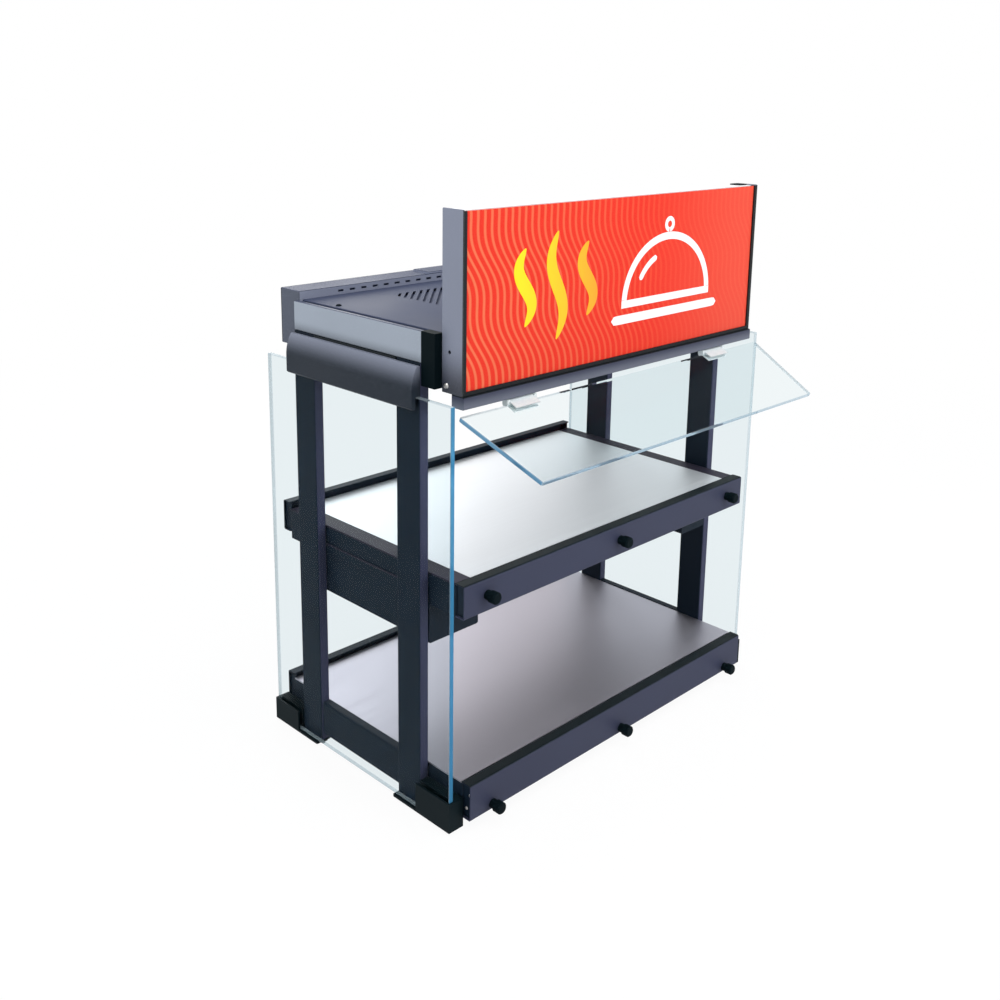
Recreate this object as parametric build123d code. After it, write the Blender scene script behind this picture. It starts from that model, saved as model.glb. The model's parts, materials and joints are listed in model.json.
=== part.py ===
# A counter-top heated display case: two heated decks between glass sides, open to the customer and to the
# operator, under a vented hood with its controls at the back, a sign box and a tilting guard glass.
# Millimetres. X points to the customer's right, Y to the operator's side and Z up. The origin lies on the
# counter, under the middle of the overall box.
import os
from math import cos, radians, sin

from build123d import *

os.makedirs("parts", exist_ok=True)

# Gaps
seat = 0.2                  # between pieces that are seated or screwed together
glass_gap = 0.3             # between a glass and the channel that holds it
running_gap = 0.08          # radial, between a shaft and its bore
moving_gap = 0.3            # beside a piece that turns or slides

# Side glasses
case_width = 600.0          # over the outer faces of the side glasses
side_glass_thick = 6.0
side_glass_depth = 352.0
side_glass_height = 519.0
glass_edge = 0.6            # ground chamfer round every glass

# Posts, rectangular tubes just inside the side glasses
post_thick = 14.0
post_depth = 42.0
post_wall = 2.0
post_corner = 2.5
post_setback = 59.0         # side glass's front edge to the front post
post_rear_setback = 51.0    # rear post to the side glass's rear edge
post_gap = 0.5              # post to side glass

# Feet: a channel for the glass beside each post, on a rubber pad
pad_height = 3.0
pad_edge = 2.0              # how far a pad stays inside its foot
foot_floor = 3.0
foot_wall = 2.7
foot_height = 38.0
rear_foot_height = 30.0
foot_corner = 2.0

# Rails and trays of the two decks
base_lift = 14.0            # counter to the underside of the base rails
base_rail_height = 47.0
base_lead = 15.2            # base front rail ahead of the side glass's front edge
shelf_level = 310.0         # counter to the top of the shelf rails
shelf_rail_height = 42.0
shelf_lead = 2.0
rail_depth = 15.0
rear_rail_depth = 14.0
base_rear_rise = 6.0        # rear rails stand above the front ones, as a lip behind the deck
shelf_rear_rise = 9.0
rail_sheet = 1.5
rail_bend = 2.5
rail_lap = 1.0              # how far the rails reach past the trays at each end
cap_inset = 3.0             # end caps set back inside the rails
cap_thick = 2.0
rear_rail_over = 2.0        # rear rails behind the side glass's rear edge
tray_sheet = 1.2
tray_gap = 0.5              # tray to post
deck_thick = 2.0
deck_drop = 1.0             # deck below the top of its front rail
deck_seam = 2.0             # dark joint between deck and front rail
trim_width = 24.0           # side trims of the shelf deck
heater_thick = 2.5
heater_margin = 24.0
insulation_thick = 18.0
side_rail_thick = 11.5
shelf_box_height = 51.0     # boxes under the two ends of the shelf, between the posts
shelf_box_left = 80.0
shelf_box_right = 56.0

# Studs along the front rails
stud_inset = 37.0           # outer studs from the ends of the rails
stud_length = 17.0
stud_radius = 6.0
stud_head_radius = 7.5
stud_head_length = 10.0
stud_edge = 1.5
base_stud_height = 1.0      # above the underside of the base rail
shelf_stud_height = 14.0

# Hood
hood_above_glass = 38.0     # side glass's upper edge to the underside of the hood
hood_height = 37.0
hood_sheet = 1.5
cheek_reach = 8.0           # hood cheek inside the outer face of the side glass
groove_width = 7.0          # open joint between cheek and top cover
cover_skirt = 14.0
liner_gap = 0.3
beam_drop = 26.0            # front beam below the hood
control_depth = 40.0        # control box behind the hood
control_rise = 11.0
control_drop = 24.0
control_reach = 16.0        # control box inside the outer face of the side glass
vent_pitch = 12.3
vent_width = 3.6
vent_angle = 45.0
vent_field_half = 172.0     # half the length of the field of slanted vents
vent_front = 150.0          # side glass's front edge to the field
vent_rear = 256.0
vent_least = 12.0           # vents cut shorter than about this are left out
riser_vent_pitch = 19.0
riser_vent_margin = 65.0
riser_vent_length = 9.0
riser_vent_height = 3.0

# Rails over the top edges of the side glasses
top_rail_height = 50.0
top_rail_below_hood = 3.0
top_rail_over = 6.0         # outside the side glass
top_rail_crown = 27.0       # height of its rounded upper part
top_rail_lip = 2.0
top_rail_rib = 12.0         # rib that closes the joint to the hood between the posts

# Overhead heat
reflector_margin = 44.0     # reflector to the end of the hood's cover
reflector_rim = 8.0
reflector_mouth = 130.0
reflector_crown = 70.0
reflector_rise = 24.0
reflector_sheet = 0.8
element_radius = 4.0
element_end = 1.0           # beyond its holders
element_height = 12.0       # above the underside of the hood
holder_thick = 10.0
holder_width = 26.0
guard_wire_radius = 1.3
guard_wire_pitch = 44.0

# Controls in the operator's panel
panel_sheet = 1.2
knob_radius = 18.0
knob_height = 17.0
knob_skirt = 3.0
knob_grip_width = 8.0
knob_shaft_radius = 3.0
knob_shaft_length = 11.0
knob_spacing = 75.0
knob_shelf_x = -20.0
thermostat_size = 40.0
thermostat_depth = 24.0
switch_inset = 124.0        # from the end of the control box
switch_width = 30.0
switch_height = 22.0
switch_depth = 22.0
switch_wall = 2.0
switch_bezel = 2.0
bezel_over = 3.0
rocker_tilt = 12.0          # each way from level
rocker_gap = 0.35           # between a tilted rocker and its well
rocker_radius = 15.0
rocker_pin_radius = 1.5
gland_inset = 69.0          # from the end of the control box
gland_bore = 4.5            # radius, for a round supply lead
gland_wall = 2.5
gland_length = 22.0
gland_flange = 3.0
gland_flange_width = 4.0
terminal_gap = 20.0         # beside the gland
terminal_width = 70.0
terminal_depth = 18.0
terminal_height = 20.0

# Sign box
sign_clear = 0.5            # sign cheek to the front beam
sign_lap = 14.0             # of the cheeks along the front beam
sign_lead = 3.0             # behind the side glass's front edge
sign_depth = 33.0
sign_drop = 30.0            # sign box below the underside of the hood
sign_height = 205.0
sign_sheet = 1.5
channel_depth = 20.0
channel_height = 15.0
channel_bend = 2.0
track_face = 4.2
track_depth = 7.5
track_lip = 1.8
track_floor = 1.2           # track behind the insert's edges
insert_thick = 3.0
insert_short = 2.0          # insert below the top of the cheeks
sign_fix_height = 8.0       # lower screw above the bottom of the cheek
sign_fix_pitch = 39.0
sign_fix_inset = 7.0        # lower screw from the rear edge of the cheek
sign_hole_inset = 12.0      # upper hole from that edge

# Guard glass, tilting on two friction hinges under the sign channel
guard_thick = 5.0
guard_side_gap = 3.0        # guard's upper corners to the side glasses
guard_taper = 21.0          # at each end, from upper to lower edge
guard_length = 119.5
guard_tilt = 26.0           # below level in the display position
guard_axis_y = 3.0          # behind the side glass's front edge
guard_axis_drop = 4.6       # below the channel
guard_start = 5.0           # hinge axis to the glass
hinge_inset = 91.0          # hinges from the ends of the sign box
clamp_length = 40.0
clamp_jaw = 1.5
clamp_grip = 9.0
hinge_pin_radius = 2.0
ear_thick = 4.0
ear_radius = 4.2

# Screws
screw_radius = 2.0
screw_hole = 2.3
screw_head_radius = 3.6
screw_head_height = 2.0
screw_length = 9.0

# Worked-out places, X
glass_outer = case_width / 2
glass_inner = glass_outer - side_glass_thick
post_outer = glass_inner - post_gap
post_inner = post_outer - post_thick
tray_half = post_inner - tray_gap
rail_half = tray_half + rail_lap
sign_half = tray_half + sign_clear + sign_sheet
hood_half = glass_outer - cheek_reach
control_half = glass_outer - control_reach
reflector_half = tray_half - reflector_margin
holder_start = reflector_half + reflector_rim + seat
element_half = holder_start + holder_thick + element_end
switch_x = switch_inset - control_half
gland_x = control_half - gland_inset
hinge_x = sign_half - hinge_inset

# Worked-out places, Y: the overall box runs from the guard's lower edge to the tips of the knobs
post_pitch = side_glass_depth - post_setback - post_rear_setback - post_depth
knob_start = post_setback + post_pitch + post_depth + 2 * seat + control_depth
reach_rear = knob_start + knob_height
guard_end = guard_start + guard_length
reach_front = guard_end * cos(radians(guard_tilt)) + guard_thick / 2 * sin(radians(guard_tilt)) - guard_axis_y
glass_front = (reach_front - reach_rear) / 2
post_front = glass_front + post_setback
post_starts = {"front": post_front, "rear": post_front + post_pitch}
post_rear_end = post_front + post_pitch + post_depth
tray_rear = glass_front + side_glass_depth + rear_rail_over - rear_rail_depth
sign_front = glass_front + sign_lead
beam_start = sign_front + sign_depth - sign_lap
control_start = post_rear_end + 2 * seat
panel_start = control_start + control_depth - panel_sheet
panel_rear = panel_start + panel_sheet

# Worked-out places, Z
glass_bottom = pad_height + foot_floor
glass_top = glass_bottom + side_glass_height
base_top = base_lift + base_rail_height
shelf_bottom = shelf_level - shelf_rail_height
hood_bottom = glass_top + hood_above_glass
hood_top_level = hood_bottom + hood_height
sign_bottom = hood_bottom - sign_drop
channel_bottom = sign_bottom - channel_height
guard_axis_z = channel_bottom - guard_axis_drop
control_bottom = hood_bottom - control_drop
control_top = hood_top_level + control_rise
control_middle = (control_bottom + control_top) / 2
sign_top = sign_bottom + sign_height


def block(x0, x1, y0, y1, z0, z1):
    """A box between two corners."""
    return Pos((x0 + x1) / 2, (y0 + y1) / 2, (z0 + z1) / 2) * Box(x1 - x0, y1 - y0, z1 - z0)


def along_x(profile, x0, x1):
    """A profile drawn as (y, z), extruded from x0 to x1."""
    return extrude(Plane((x0, 0, 0), x_dir=(0, 1, 0), z_dir=(1, 0, 0)) * profile, amount=x1 - x0)


def along_y(profile, y0, y1):
    """A profile drawn as (x, z), extruded from y0 to y1."""
    return extrude(Plane((0, y0, 0), x_dir=(1, 0, 0), z_dir=(0, -1, 0)) * profile, amount=y1 - y0, dir=(0, 1, 0))


def upright(profile, z0, z1):
    """A profile drawn as (x, y), extruded from z0 to z1."""
    return extrude(Plane.XY.offset(z0) * profile, amount=z1 - z0)


def rectangle(u0, u1, v0, v1):
    return Pos((u0 + u1) / 2, (v0 + v1) / 2) * Rectangle(u1 - u0, v1 - v0)


def turned(points, place, direction):
    """A profile of (radius, distance) points turned about an axis from place along direction."""
    outline = make_face(Polyline(*points, close=True))
    return Plane(place, z_dir=direction) * revolve(Plane.XZ * outline, Axis.Z)


def mirrored(solid):
    return mirror(solid, about=Plane.YZ)


def left_and_right(name, right_solid):
    """The same piece on both sides of the case."""
    return {f"{name}_left": mirrored(right_solid), f"{name}_right": right_solid}


def row(pitch, reach):
    """Evenly spaced places about the middle, none beyond reach."""
    count = int(2 * reach / pitch) + 1
    return [(i - (count - 1) / 2) * pitch for i in range(count)]


def open_tray(x0, x1, y0, y1, z0, z1, sheet):
    """A folded sheet tray, open upwards."""
    outer = block(x0, x1, y0, y1, z0, z1)
    outer = fillet(outer.edges().filter_by(Axis.Z), 2 * sheet)
    return outer - block(x0 + sheet, x1 - sheet, y0 + sheet, y1 - sheet, z0 + sheet, z1 + sheet)


# Posts and feet
def post(y0):
    """A rectangular tube with rounded corners."""
    middle = ((post_inner + post_outer) / 2, y0 + post_depth / 2)
    section = Pos(*middle) * RectangleRounded(post_thick, post_depth, post_corner)
    section -= Pos(*middle) * Rectangle(post_thick - 2 * post_wall, post_depth - 2 * post_wall)
    return upright(section, glass_bottom + seat, hood_bottom - seat)


def foot(end):
    """A floor under the post, with a channel beside it that holds the side glass's lower corner."""
    y0 = post_starts[end]
    y1 = y0 + post_depth
    channel_x = (rail_half + seat, glass_outer + glass_gap + foot_wall)
    if end == "front":
        height = foot_height
        tip = glass_front - glass_gap - foot_wall
        channel = (tip, y0 - seat)
        floor = (tip, y1)
        slot = (glass_front - glass_gap, y1 + 1)
    else:
        height = rear_foot_height
        tip = glass_front + side_glass_depth + glass_gap + foot_wall
        channel = (y1 + seat, tip)
        floor = (y0, tip)
        slot = (y0 - 1, tip - foot_wall)
    body = block(*channel_x, *floor, pad_height, glass_bottom)
    body += block(*channel_x, *channel, pad_height, pad_height + height)
    body = fillet(body.edges().filter_by(Axis.Z).sort_by(Axis.X)[-2:], foot_corner)
    return body - block(glass_inner - glass_gap, glass_outer + glass_gap, *slot,
                        glass_bottom, pad_height + height + 1)


def rubber_feet():
    """A rubber pad under each foot."""
    pads = []
    x0, x1 = post_inner + pad_edge, post_outer - pad_edge
    for y0 in post_starts.values():
        outline = rectangle(x0, x1, y0 + pad_edge, y0 + post_depth - pad_edge)
        outline = chamfer(outline.vertices(), pad_edge)
        pad = upright(outline, 0, pad_height - seat / 2)
        pads += [pad, mirrored(pad)]
    return Compound(pads)


# Glass
def side_glass():
    sheet = block(glass_inner, glass_outer, glass_front, glass_front + side_glass_depth,
                  glass_bottom + seat, glass_top)
    return chamfer(sheet.edges(), glass_edge)


def top_rail():
    """A rounded rail that grips the glass's upper edge and covers the tops of the posts."""
    top = hood_bottom - top_rail_below_hood
    bottom = top - top_rail_height
    outer = glass_outer + top_rail_over
    inner = post_outer + seat
    slot_top = glass_top + glass_gap
    crown = TangentArc((outer, top - top_rail_crown), (glass_outer - top_rail_lip, top), tangent=(0, 1))
    outline = Polyline(crown @ 1, (inner, top), (inner, slot_top), (glass_outer + glass_gap, slot_top),
                       (glass_outer + glass_gap, bottom), (outer - top_rail_lip, bottom),
                       (outer, bottom + top_rail_lip), crown @ 0)
    rail = along_y(make_face([crown, outline]), post_front, post_rear_end)
    return rail + block(inner - top_rail_rib, inner + seat, post_front + post_depth + seat,
                        post_front + post_pitch - seat, top - top_rail_rib, hood_bottom - seat)


# Decks
def channel_rail(y0, y1, z0, z1, front):
    """A folded rail, open on the side towards the deck. Its face is at y0 on a front rail and at y1 on a rear one."""
    section = rectangle(y0, y1, z0, z1)
    side = 0 if front else -1
    section = fillet(section.vertices().group_by(Axis.X)[side], rail_bend)
    pocket_y = (y0 + rail_sheet, y1 + 1) if front else (y0 - 1, y1 - rail_sheet)
    pocket = rectangle(*pocket_y, z0 + rail_sheet, z1 - rail_sheet)
    return along_x(section - pocket, -rail_half, rail_half)


def rail_spans():
    """The four rails of the decks, as (y0, y1, z0, z1)."""
    base_y = glass_front - base_lead
    shelf_y = glass_front - shelf_lead
    rear = (tray_rear, tray_rear + rear_rail_depth)
    return {
        "base_front_rail": (base_y, base_y + rail_depth, base_lift, base_top),
        "shelf_front_rail": (shelf_y, shelf_y + rail_depth, shelf_bottom, shelf_level),
        "base_rear_rail": (*rear, base_lift + base_rear_rise, base_top + base_rear_rise),
        "shelf_rear_rail": (*rear, shelf_bottom + shelf_rear_rise, shelf_level + shelf_rear_rise),
    }


def rail_end_caps():
    """Plates that close the rails' ends, set back inside them."""
    caps = []
    x1 = rail_half - cap_inset
    for name, (y0, y1, z0, z1) in rail_spans().items():
        front = "front" in name
        depth = (y0 + rail_sheet + seat, y1 - seat) if front else (y0 + seat, y1 - rail_sheet - seat)
        cap = rectangle(*depth, z0 + rail_sheet + seat, z1 - rail_sheet - seat)
        plate = along_x(cap, x1 - cap_thick, x1)
        caps += [plate, mirrored(plate)]
    return Compound(caps)


def front_studs():
    """Round-headed studs along the two front rails."""
    studs = []
    spans = rail_spans()
    for name, rise in (("base_front_rail", base_stud_height), ("shelf_front_rail", shelf_stud_height)):
        y0, _, z0, _ = spans[name]
        for step in (-1, 0, 1):
            stem = stud_length - stud_head_length
            outline = [(0, seat), (stud_radius, seat), (stud_radius, stem), (stud_head_radius, stem),
                       (stud_head_radius, stud_length - stud_edge), (stud_head_radius - stud_edge, stud_length),
                       (0, stud_length)]
            place = (step * (rail_half - stud_inset), y0, z0 + rise + stud_head_radius)
            studs.append(turned(outline, place, (0, -1, 0)))
    return Compound(studs)


def deck_pieces(level, front_y, bottom, side_trim):
    """The tray, deck, heater blanket and insulation of one deck, in this order."""
    y0 = front_y + rail_depth + seat
    y1 = tray_rear - seat
    deck_top = level - deck_drop
    tray_top = deck_top - deck_thick - seat
    tray = open_tray(-tray_half, tray_half, y0, y1, bottom, tray_top, tray_sheet)
    half = tray_half - side_trim
    deck = block(-half, half, y0 + deck_seam, y1, deck_top - deck_thick, deck_top)
    margin = tray_sheet + heater_margin
    heater = block(-half + margin, half - margin, y0 + margin, y1 - margin,
                   tray_top - heater_thick, tray_top)
    inside = tray_sheet + seat
    insulation = block(-tray_half + inside, tray_half - inside, y0 + inside, y1 - inside,
                       bottom + inside, bottom + inside + insulation_thick)
    insulation = fillet(insulation.edges().filter_by(Axis.Z), 2 * tray_sheet)
    return tray, deck, heater, insulation


def shelf_trims():
    """Flat side trims on the shelf's tray, flush with its deck."""
    y0 = glass_front - shelf_lead + rail_depth + seat
    top = shelf_level - deck_drop
    trim = block(tray_half - trim_width + seat, tray_half, y0 + deck_seam, tray_rear - seat, top - deck_thick, top)
    trim = fillet(trim.edges().filter_by(Axis.Y).sort_by(Axis.X)[-2:].sort_by(Axis.Z)[-1:], deck_thick / 2)
    return Compound([trim, mirrored(trim)])


def base_side_rail():
    """A channel between the front and rear posts, beside the base tray."""
    y0 = post_front + post_depth + seat
    y1 = post_front + post_pitch - seat
    section = rectangle(post_inner, post_inner + side_rail_thick, base_lift, base_top)
    section = fillet(section.vertices().group_by(Axis.X)[-1], rail_bend)
    section -= rectangle(post_inner - 1, post_inner + side_rail_thick - rail_sheet,
                         base_lift + rail_sheet, base_top - rail_sheet)
    return along_y(section, y0, y1)


def shelf_box(width):
    """The box between the posts that carries one end of the shelf and holds its wiring."""
    z0 = shelf_bottom - shelf_box_height
    body = block(tray_half - width, tray_half, post_front, post_rear_end, z0, shelf_bottom - seat)
    body = fillet(body.edges().filter_by(Axis.Y).group_by(Axis.Z)[0], rail_bend)
    return body - block(tray_half - width + rail_sheet, tray_half - rail_sheet, post_front + rail_sheet,
                        post_rear_end - rail_sheet, z0 + rail_sheet, shelf_bottom + 1)


# Hood
def hood_cheek():
    """The side cover of the hood, open towards the middle, with a groove beside the top cover."""
    y0, y1 = post_front, post_rear_end + seat
    body = block(post_inner, hood_half, y0, y1, hood_bottom, hood_top_level)
    body = fillet(body.edges().filter_by(Axis.Y).group_by(Axis.X)[-1], hood_sheet)
    body -= block(post_inner - 1, hood_half - hood_sheet, y0 + hood_sheet, y1 - hood_sheet,
                  hood_bottom + hood_sheet, hood_top_level - hood_sheet)
    return body - block(post_inner - 1, post_inner + groove_width, y0 - 1, y1 + 1,
                        hood_top_level - hood_sheet - 1, hood_top_level + 1)


def hood_cover():
    """The top cover, with folded sides and a field of slanted vents."""
    y0, y1 = beam_start, post_rear_end + seat
    cover = block(-tray_half, tray_half, y0, y1, hood_top_level - cover_skirt, hood_top_level)
    cover = fillet(cover.edges().filter_by(Axis.Y).group_by(Axis.Z)[-1], hood_sheet)
    inside = tray_half - hood_sheet
    cover -= block(-inside, inside, y0 - 1, y1 + 1, hood_top_level - cover_skirt - 1, hood_top_level - hood_sheet)
    field_y = (glass_front + vent_front, glass_front + vent_rear)
    field = rectangle(-vent_field_half, vent_field_half, *field_y)
    depth = vent_rear - vent_front
    slot = Rot(0, 0, vent_angle) * Rectangle(3 * depth, vent_width)
    for x in row(vent_pitch, vent_field_half + depth / 2 - vent_least):
        vent = field & (Pos(x, sum(field_y) / 2) * slot)
        cover -= upright(vent, hood_top_level - hood_sheet - 1, hood_top_level + 1)
    return cover


def hood_liner():
    """The tray over the heated space, with an opening for the reflector."""
    half = tray_half - hood_sheet - liner_gap
    tray = open_tray(-half, half, post_front + seat, post_rear_end, hood_bottom,
                     hood_top_level - hood_sheet - seat, tray_sheet)
    middle = (post_front + post_rear_end) / 2
    return tray - block(-reflector_half, reflector_half, middle - reflector_mouth / 2,
                        middle + reflector_mouth / 2, hood_bottom - 1, hood_bottom + tray_sheet + 1)


def front_beam():
    """The beam across the front of the hood that carries the sign box, closed on top by the hood's cover."""
    y0, y1 = beam_start, post_front - seat
    z0, z1 = hood_bottom - beam_drop, hood_top_level - hood_sheet - seat
    half = tray_half - hood_sheet - seat
    body = block(-half, half, y0, y1, z0, z1)
    body -= block(-half + hood_sheet, half - hood_sheet, y0 + hood_sheet, y1 - hood_sheet, z0 + hood_sheet, z1 + 1)
    end = block(half, tray_half, y0, y1, z0, hood_top_level - cover_skirt - seat)
    rear_y = sign_front + sign_depth + seat
    end += block(half, tray_half + hood_sheet, rear_y, y1, z0, hood_top_level - cover_skirt - seat)
    end += block(tray_half + seat, hood_half, rear_y, y1, z0, hood_top_level)
    body += end + mirrored(end)
    _, y, z = sign_fix_points()[0]
    return body - Pos(0, y, z) * Rot(0, 90, 0) * Cylinder(screw_hole, 3 * sign_half)


def control_box():
    """The housing behind the hood, open to the operator, with vents above the hood's cover."""
    y0, y1 = control_start, panel_start - seat
    body = block(-control_half, control_half, y0, y1, control_bottom, control_top)
    body = fillet(body.edges().filter_by(Axis.Y), hood_sheet)
    body -= block(-control_half + hood_sheet, control_half - hood_sheet, y0 + hood_sheet, y1 + 1,
                  control_bottom + hood_sheet, control_top - hood_sheet)
    middle = hood_top_level + (control_rise - hood_sheet) / 2
    for x in row(riser_vent_pitch, control_half - riser_vent_margin):
        body -= Pos(x, y0, middle) * Box(riser_vent_length, 4 * hood_sheet, riser_vent_height)
    return body


def control_panel():
    """The operator's panel, with holes for the knobs, the switch and the lead."""
    plate = block(-control_half, control_half, panel_start, panel_rear, control_bottom, control_top)
    plate = fillet(plate.edges().filter_by(Axis.Y), hood_sheet)
    holes = [(knob_shelf_x + i * knob_spacing, control_middle, knob_shaft_radius + 1) for i in (0, 1)]
    holes.append((gland_x, control_middle, gland_bore + gland_wall + seat))
    for x, z, radius in holes:
        plate -= Pos(x, panel_start, z) * Rot(90, 0, 0) * Cylinder(radius, 4 * panel_sheet)
    return plate - block(switch_x - switch_width / 2 - seat, switch_x + switch_width / 2 + seat, panel_start - 1,
                         panel_rear + 1, control_middle - switch_height / 2 - seat,
                         control_middle + switch_height / 2 + seat)


# Heat and controls
def reflector():
    """A folded trough over the element, with end walls."""
    middle = (post_front + post_rear_end) / 2
    z0 = hood_bottom + tray_sheet + seat

    def trough(inset, drop):
        mouth, crown = reflector_mouth / 2 - inset, reflector_crown / 2 - inset
        return make_face(Polyline((middle - mouth, z0 - drop), (middle + mouth, z0 - drop),
                                  (middle + crown, z0 + reflector_rise - inset),
                                  (middle - crown, z0 + reflector_rise - inset), close=True))
    half = reflector_half
    shell = along_x(trough(0, 0), -half, half) - along_x(trough(reflector_sheet, 1), -half + reflector_sheet,
                                                        half - reflector_sheet)
    rim = block(-half - reflector_rim, half + reflector_rim, middle - reflector_mouth / 2 - reflector_rim,
                middle + reflector_mouth / 2 + reflector_rim, z0, z0 + reflector_sheet)
    rim -= block(-half + 1, half - 1, middle - reflector_mouth / 2 + 1, middle + reflector_mouth / 2 - 1,
                 z0 - 1, z0 + 1)
    shell += rim
    return shell - element_place() * Rot(0, 90, 0) * Cylinder(element_radius + seat, 2 * element_half)


def element_place():
    return Pos(0, (post_front + post_rear_end) / 2, hood_bottom + element_height)


def infrared_element():
    """A metal-sheathed rod across the hood, with a terminal pin at each end."""
    rod = element_place() * Rot(0, 90, 0) * Cylinder(element_radius, 2 * element_half)
    pins = element_place() * Rot(0, 90, 0) * Cylinder(element_radius / 3, 2 * element_half + 4 * element_radius)
    return rod + pins


def element_holders():
    """A ceramic block round each end of the element, on the liner."""
    place = element_place()
    y, z = place.position.Y, place.position.Z
    z0 = hood_bottom + tray_sheet + seat
    holder = block(holder_start, holder_start + holder_thick, y - holder_width / 2, y + holder_width / 2,
                   z0, z + holder_width / 2)
    holder = chamfer(holder.edges().filter_by(Axis.X).group_by(Axis.Z)[-1], holder_width / 4)
    holder -= place * Rot(0, 90, 0) * Cylinder(element_radius + seat, 4 * element_half)
    return Compound([holder, mirrored(holder)])


def element_guard():
    """A wire grille across the mouth of the reflector: two long wires with cross wires on them."""
    middle = (post_front + post_rear_end) / 2
    z = hood_bottom - seat - guard_wire_radius
    reach = reflector_mouth / 2 + reflector_rim
    half = reflector_half - reflector_rim
    wire = RegularPolygon(guard_wire_radius, 6)
    grille = [along_x(Pos(middle + side * (reach - 3), z) * wire, -half - 6, half + 6) for side in (-1, 1)]
    for x in row(guard_wire_pitch, half):
        grille.append(along_y(Pos(x, z) * wire, middle - reach, middle + reach))
    return grille[0].fuse(*grille[1:])


def knob(x):
    """A skirted knob with a grip bar, on the shaft that turns the thermostat."""
    outline = [(0, -knob_shaft_length), (knob_shaft_radius, -knob_shaft_length),
               (knob_shaft_radius, moving_gap), (knob_radius, moving_gap), (knob_radius, knob_skirt),
               (knob_radius - 3, knob_skirt), (knob_radius - 4, knob_height), (0, knob_height)]
    body = turned(outline, (x, panel_rear, control_middle), (0, 1, 0))
    reach = knob_radius + 1
    cut_depth = 2 * (knob_height - knob_skirt - 2)
    for side in (-1, 1):
        centre = side * (knob_grip_width / 2 + reach / 2)
        place = Pos(x + centre, panel_rear + knob_height, control_middle)
        body -= place * Box(reach, cut_depth, 2 * reach)
    return body


def thermostats():
    """The two thermostat bodies behind the panel, bored for the knobs' shafts."""
    bodies = []
    for i in (0, 1):
        x = knob_shelf_x + i * knob_spacing
        half = thermostat_size / 2
        body = block(x - half, x + half, panel_start - seat - thermostat_depth, panel_start - seat,
                     control_middle - half, control_middle + half)
        body = chamfer(body.edges().filter_by(Axis.Y), thermostat_size / 10)
        depth = knob_shaft_length - panel_sheet + 1
        bodies.append(body - Pos(x, panel_start - seat - depth / 2, control_middle) * Rot(90, 0, 0)
                      * Cylinder(knob_shaft_radius + running_gap, depth))
    return Compound(bodies)


def switch_body():
    """The switch's housing through the panel, with a bezel and a well for the rocker."""
    x0, x1 = switch_x - switch_width / 2, switch_x + switch_width / 2
    z0, z1 = control_middle - switch_height / 2, control_middle + switch_height / 2
    body = block(x0, x1, panel_rear - switch_depth, panel_rear + seat, z0, z1)
    bezel = block(x0 - bezel_over, x1 + bezel_over, panel_rear + seat, panel_rear + seat + switch_bezel,
                  z0 - bezel_over, z1 + bezel_over)
    body += fillet(bezel.edges().filter_by(Axis.Y), bezel_over)
    wall = switch_wall
    body -= block(x0 + wall, x1 - wall, panel_rear - rocker_radius, panel_rear + 10, z0 + wall, z1 - wall)
    pin = Pos(switch_x, panel_rear - rocker_radius / 2, control_middle) * Rot(0, 90, 0)
    return body - pin * Cylinder(rocker_pin_radius + running_gap, switch_width - wall + 2 * moving_gap)


def rocker():
    """The rocker: a wedge with a hollowed face, on two pins, resting tilted to its lower end."""
    tilt = radians(rocker_tilt)
    axis_y = -rocker_radius / 2
    rise = switch_bezel + seat
    face_y = rise - axis_y
    half_x = switch_width / 2 - switch_wall - rocker_gap
    half_z = (switch_height / 2 - switch_wall - rocker_gap - face_y * sin(tilt)) / cos(tilt)
    stem = rocker_pin_radius + 0.9
    dish = ThreePointArc((face_y, -half_z), (face_y - rise, 0), (face_y, half_z))
    sides = Polyline((face_y, half_z), (2, half_z), (-stem, 2), (-stem, -2), (2, -half_z), (face_y, -half_z))
    body = along_x(make_face([dish, sides]), -half_x, half_x)
    body += Rot(0, 90, 0) * Cylinder(rocker_pin_radius, switch_width - switch_wall)
    return Pos(switch_x, panel_rear + axis_y, control_middle) * Rot(-rocker_tilt, 0, 0) * body


def cord_gland():
    """A flanged bush through the panel, for the supply lead."""
    outer = gland_bore + gland_wall
    y0, y1 = panel_rear + seat, panel_rear + gland_flange
    place = Pos(gland_x, control_middle)
    bush = along_y(place * Circle(outer), panel_rear - gland_length / 2, panel_rear + gland_length / 2)
    bush += along_y(place * RegularPolygon(outer + gland_flange_width, 6), y0, y1)
    return bush - along_y(place * Circle(gland_bore), panel_rear - gland_length, panel_rear + gland_length)


def terminal_block():
    """A ribbed terminal block on the floor of the control box."""
    x0 = gland_x - terminal_gap - terminal_width
    y0 = control_start + hood_sheet + seat
    z0 = control_bottom + hood_sheet + seat
    body = block(x0, x0 + terminal_width, y0, y0 + terminal_depth, z0, z0 + terminal_height)
    poles = 5
    pitch = terminal_width / poles
    for i in range(poles):
        body -= block(x0 + i * pitch + 1.5, x0 + (i + 1) * pitch - 1.5, y0 + 3, y0 + terminal_depth - 3,
                      z0 + terminal_height / 2, z0 + terminal_height + 1)
    return body


# Sign box
def sign_fix_points():
    """The screw through the right cheek of the sign box into the front beam, and the open hole above it."""
    rear = sign_front + sign_depth
    z = sign_bottom + sign_fix_height
    return [(sign_half, rear - sign_fix_inset, z), (sign_half, rear - sign_hole_inset, z + sign_fix_pitch)]


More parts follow.
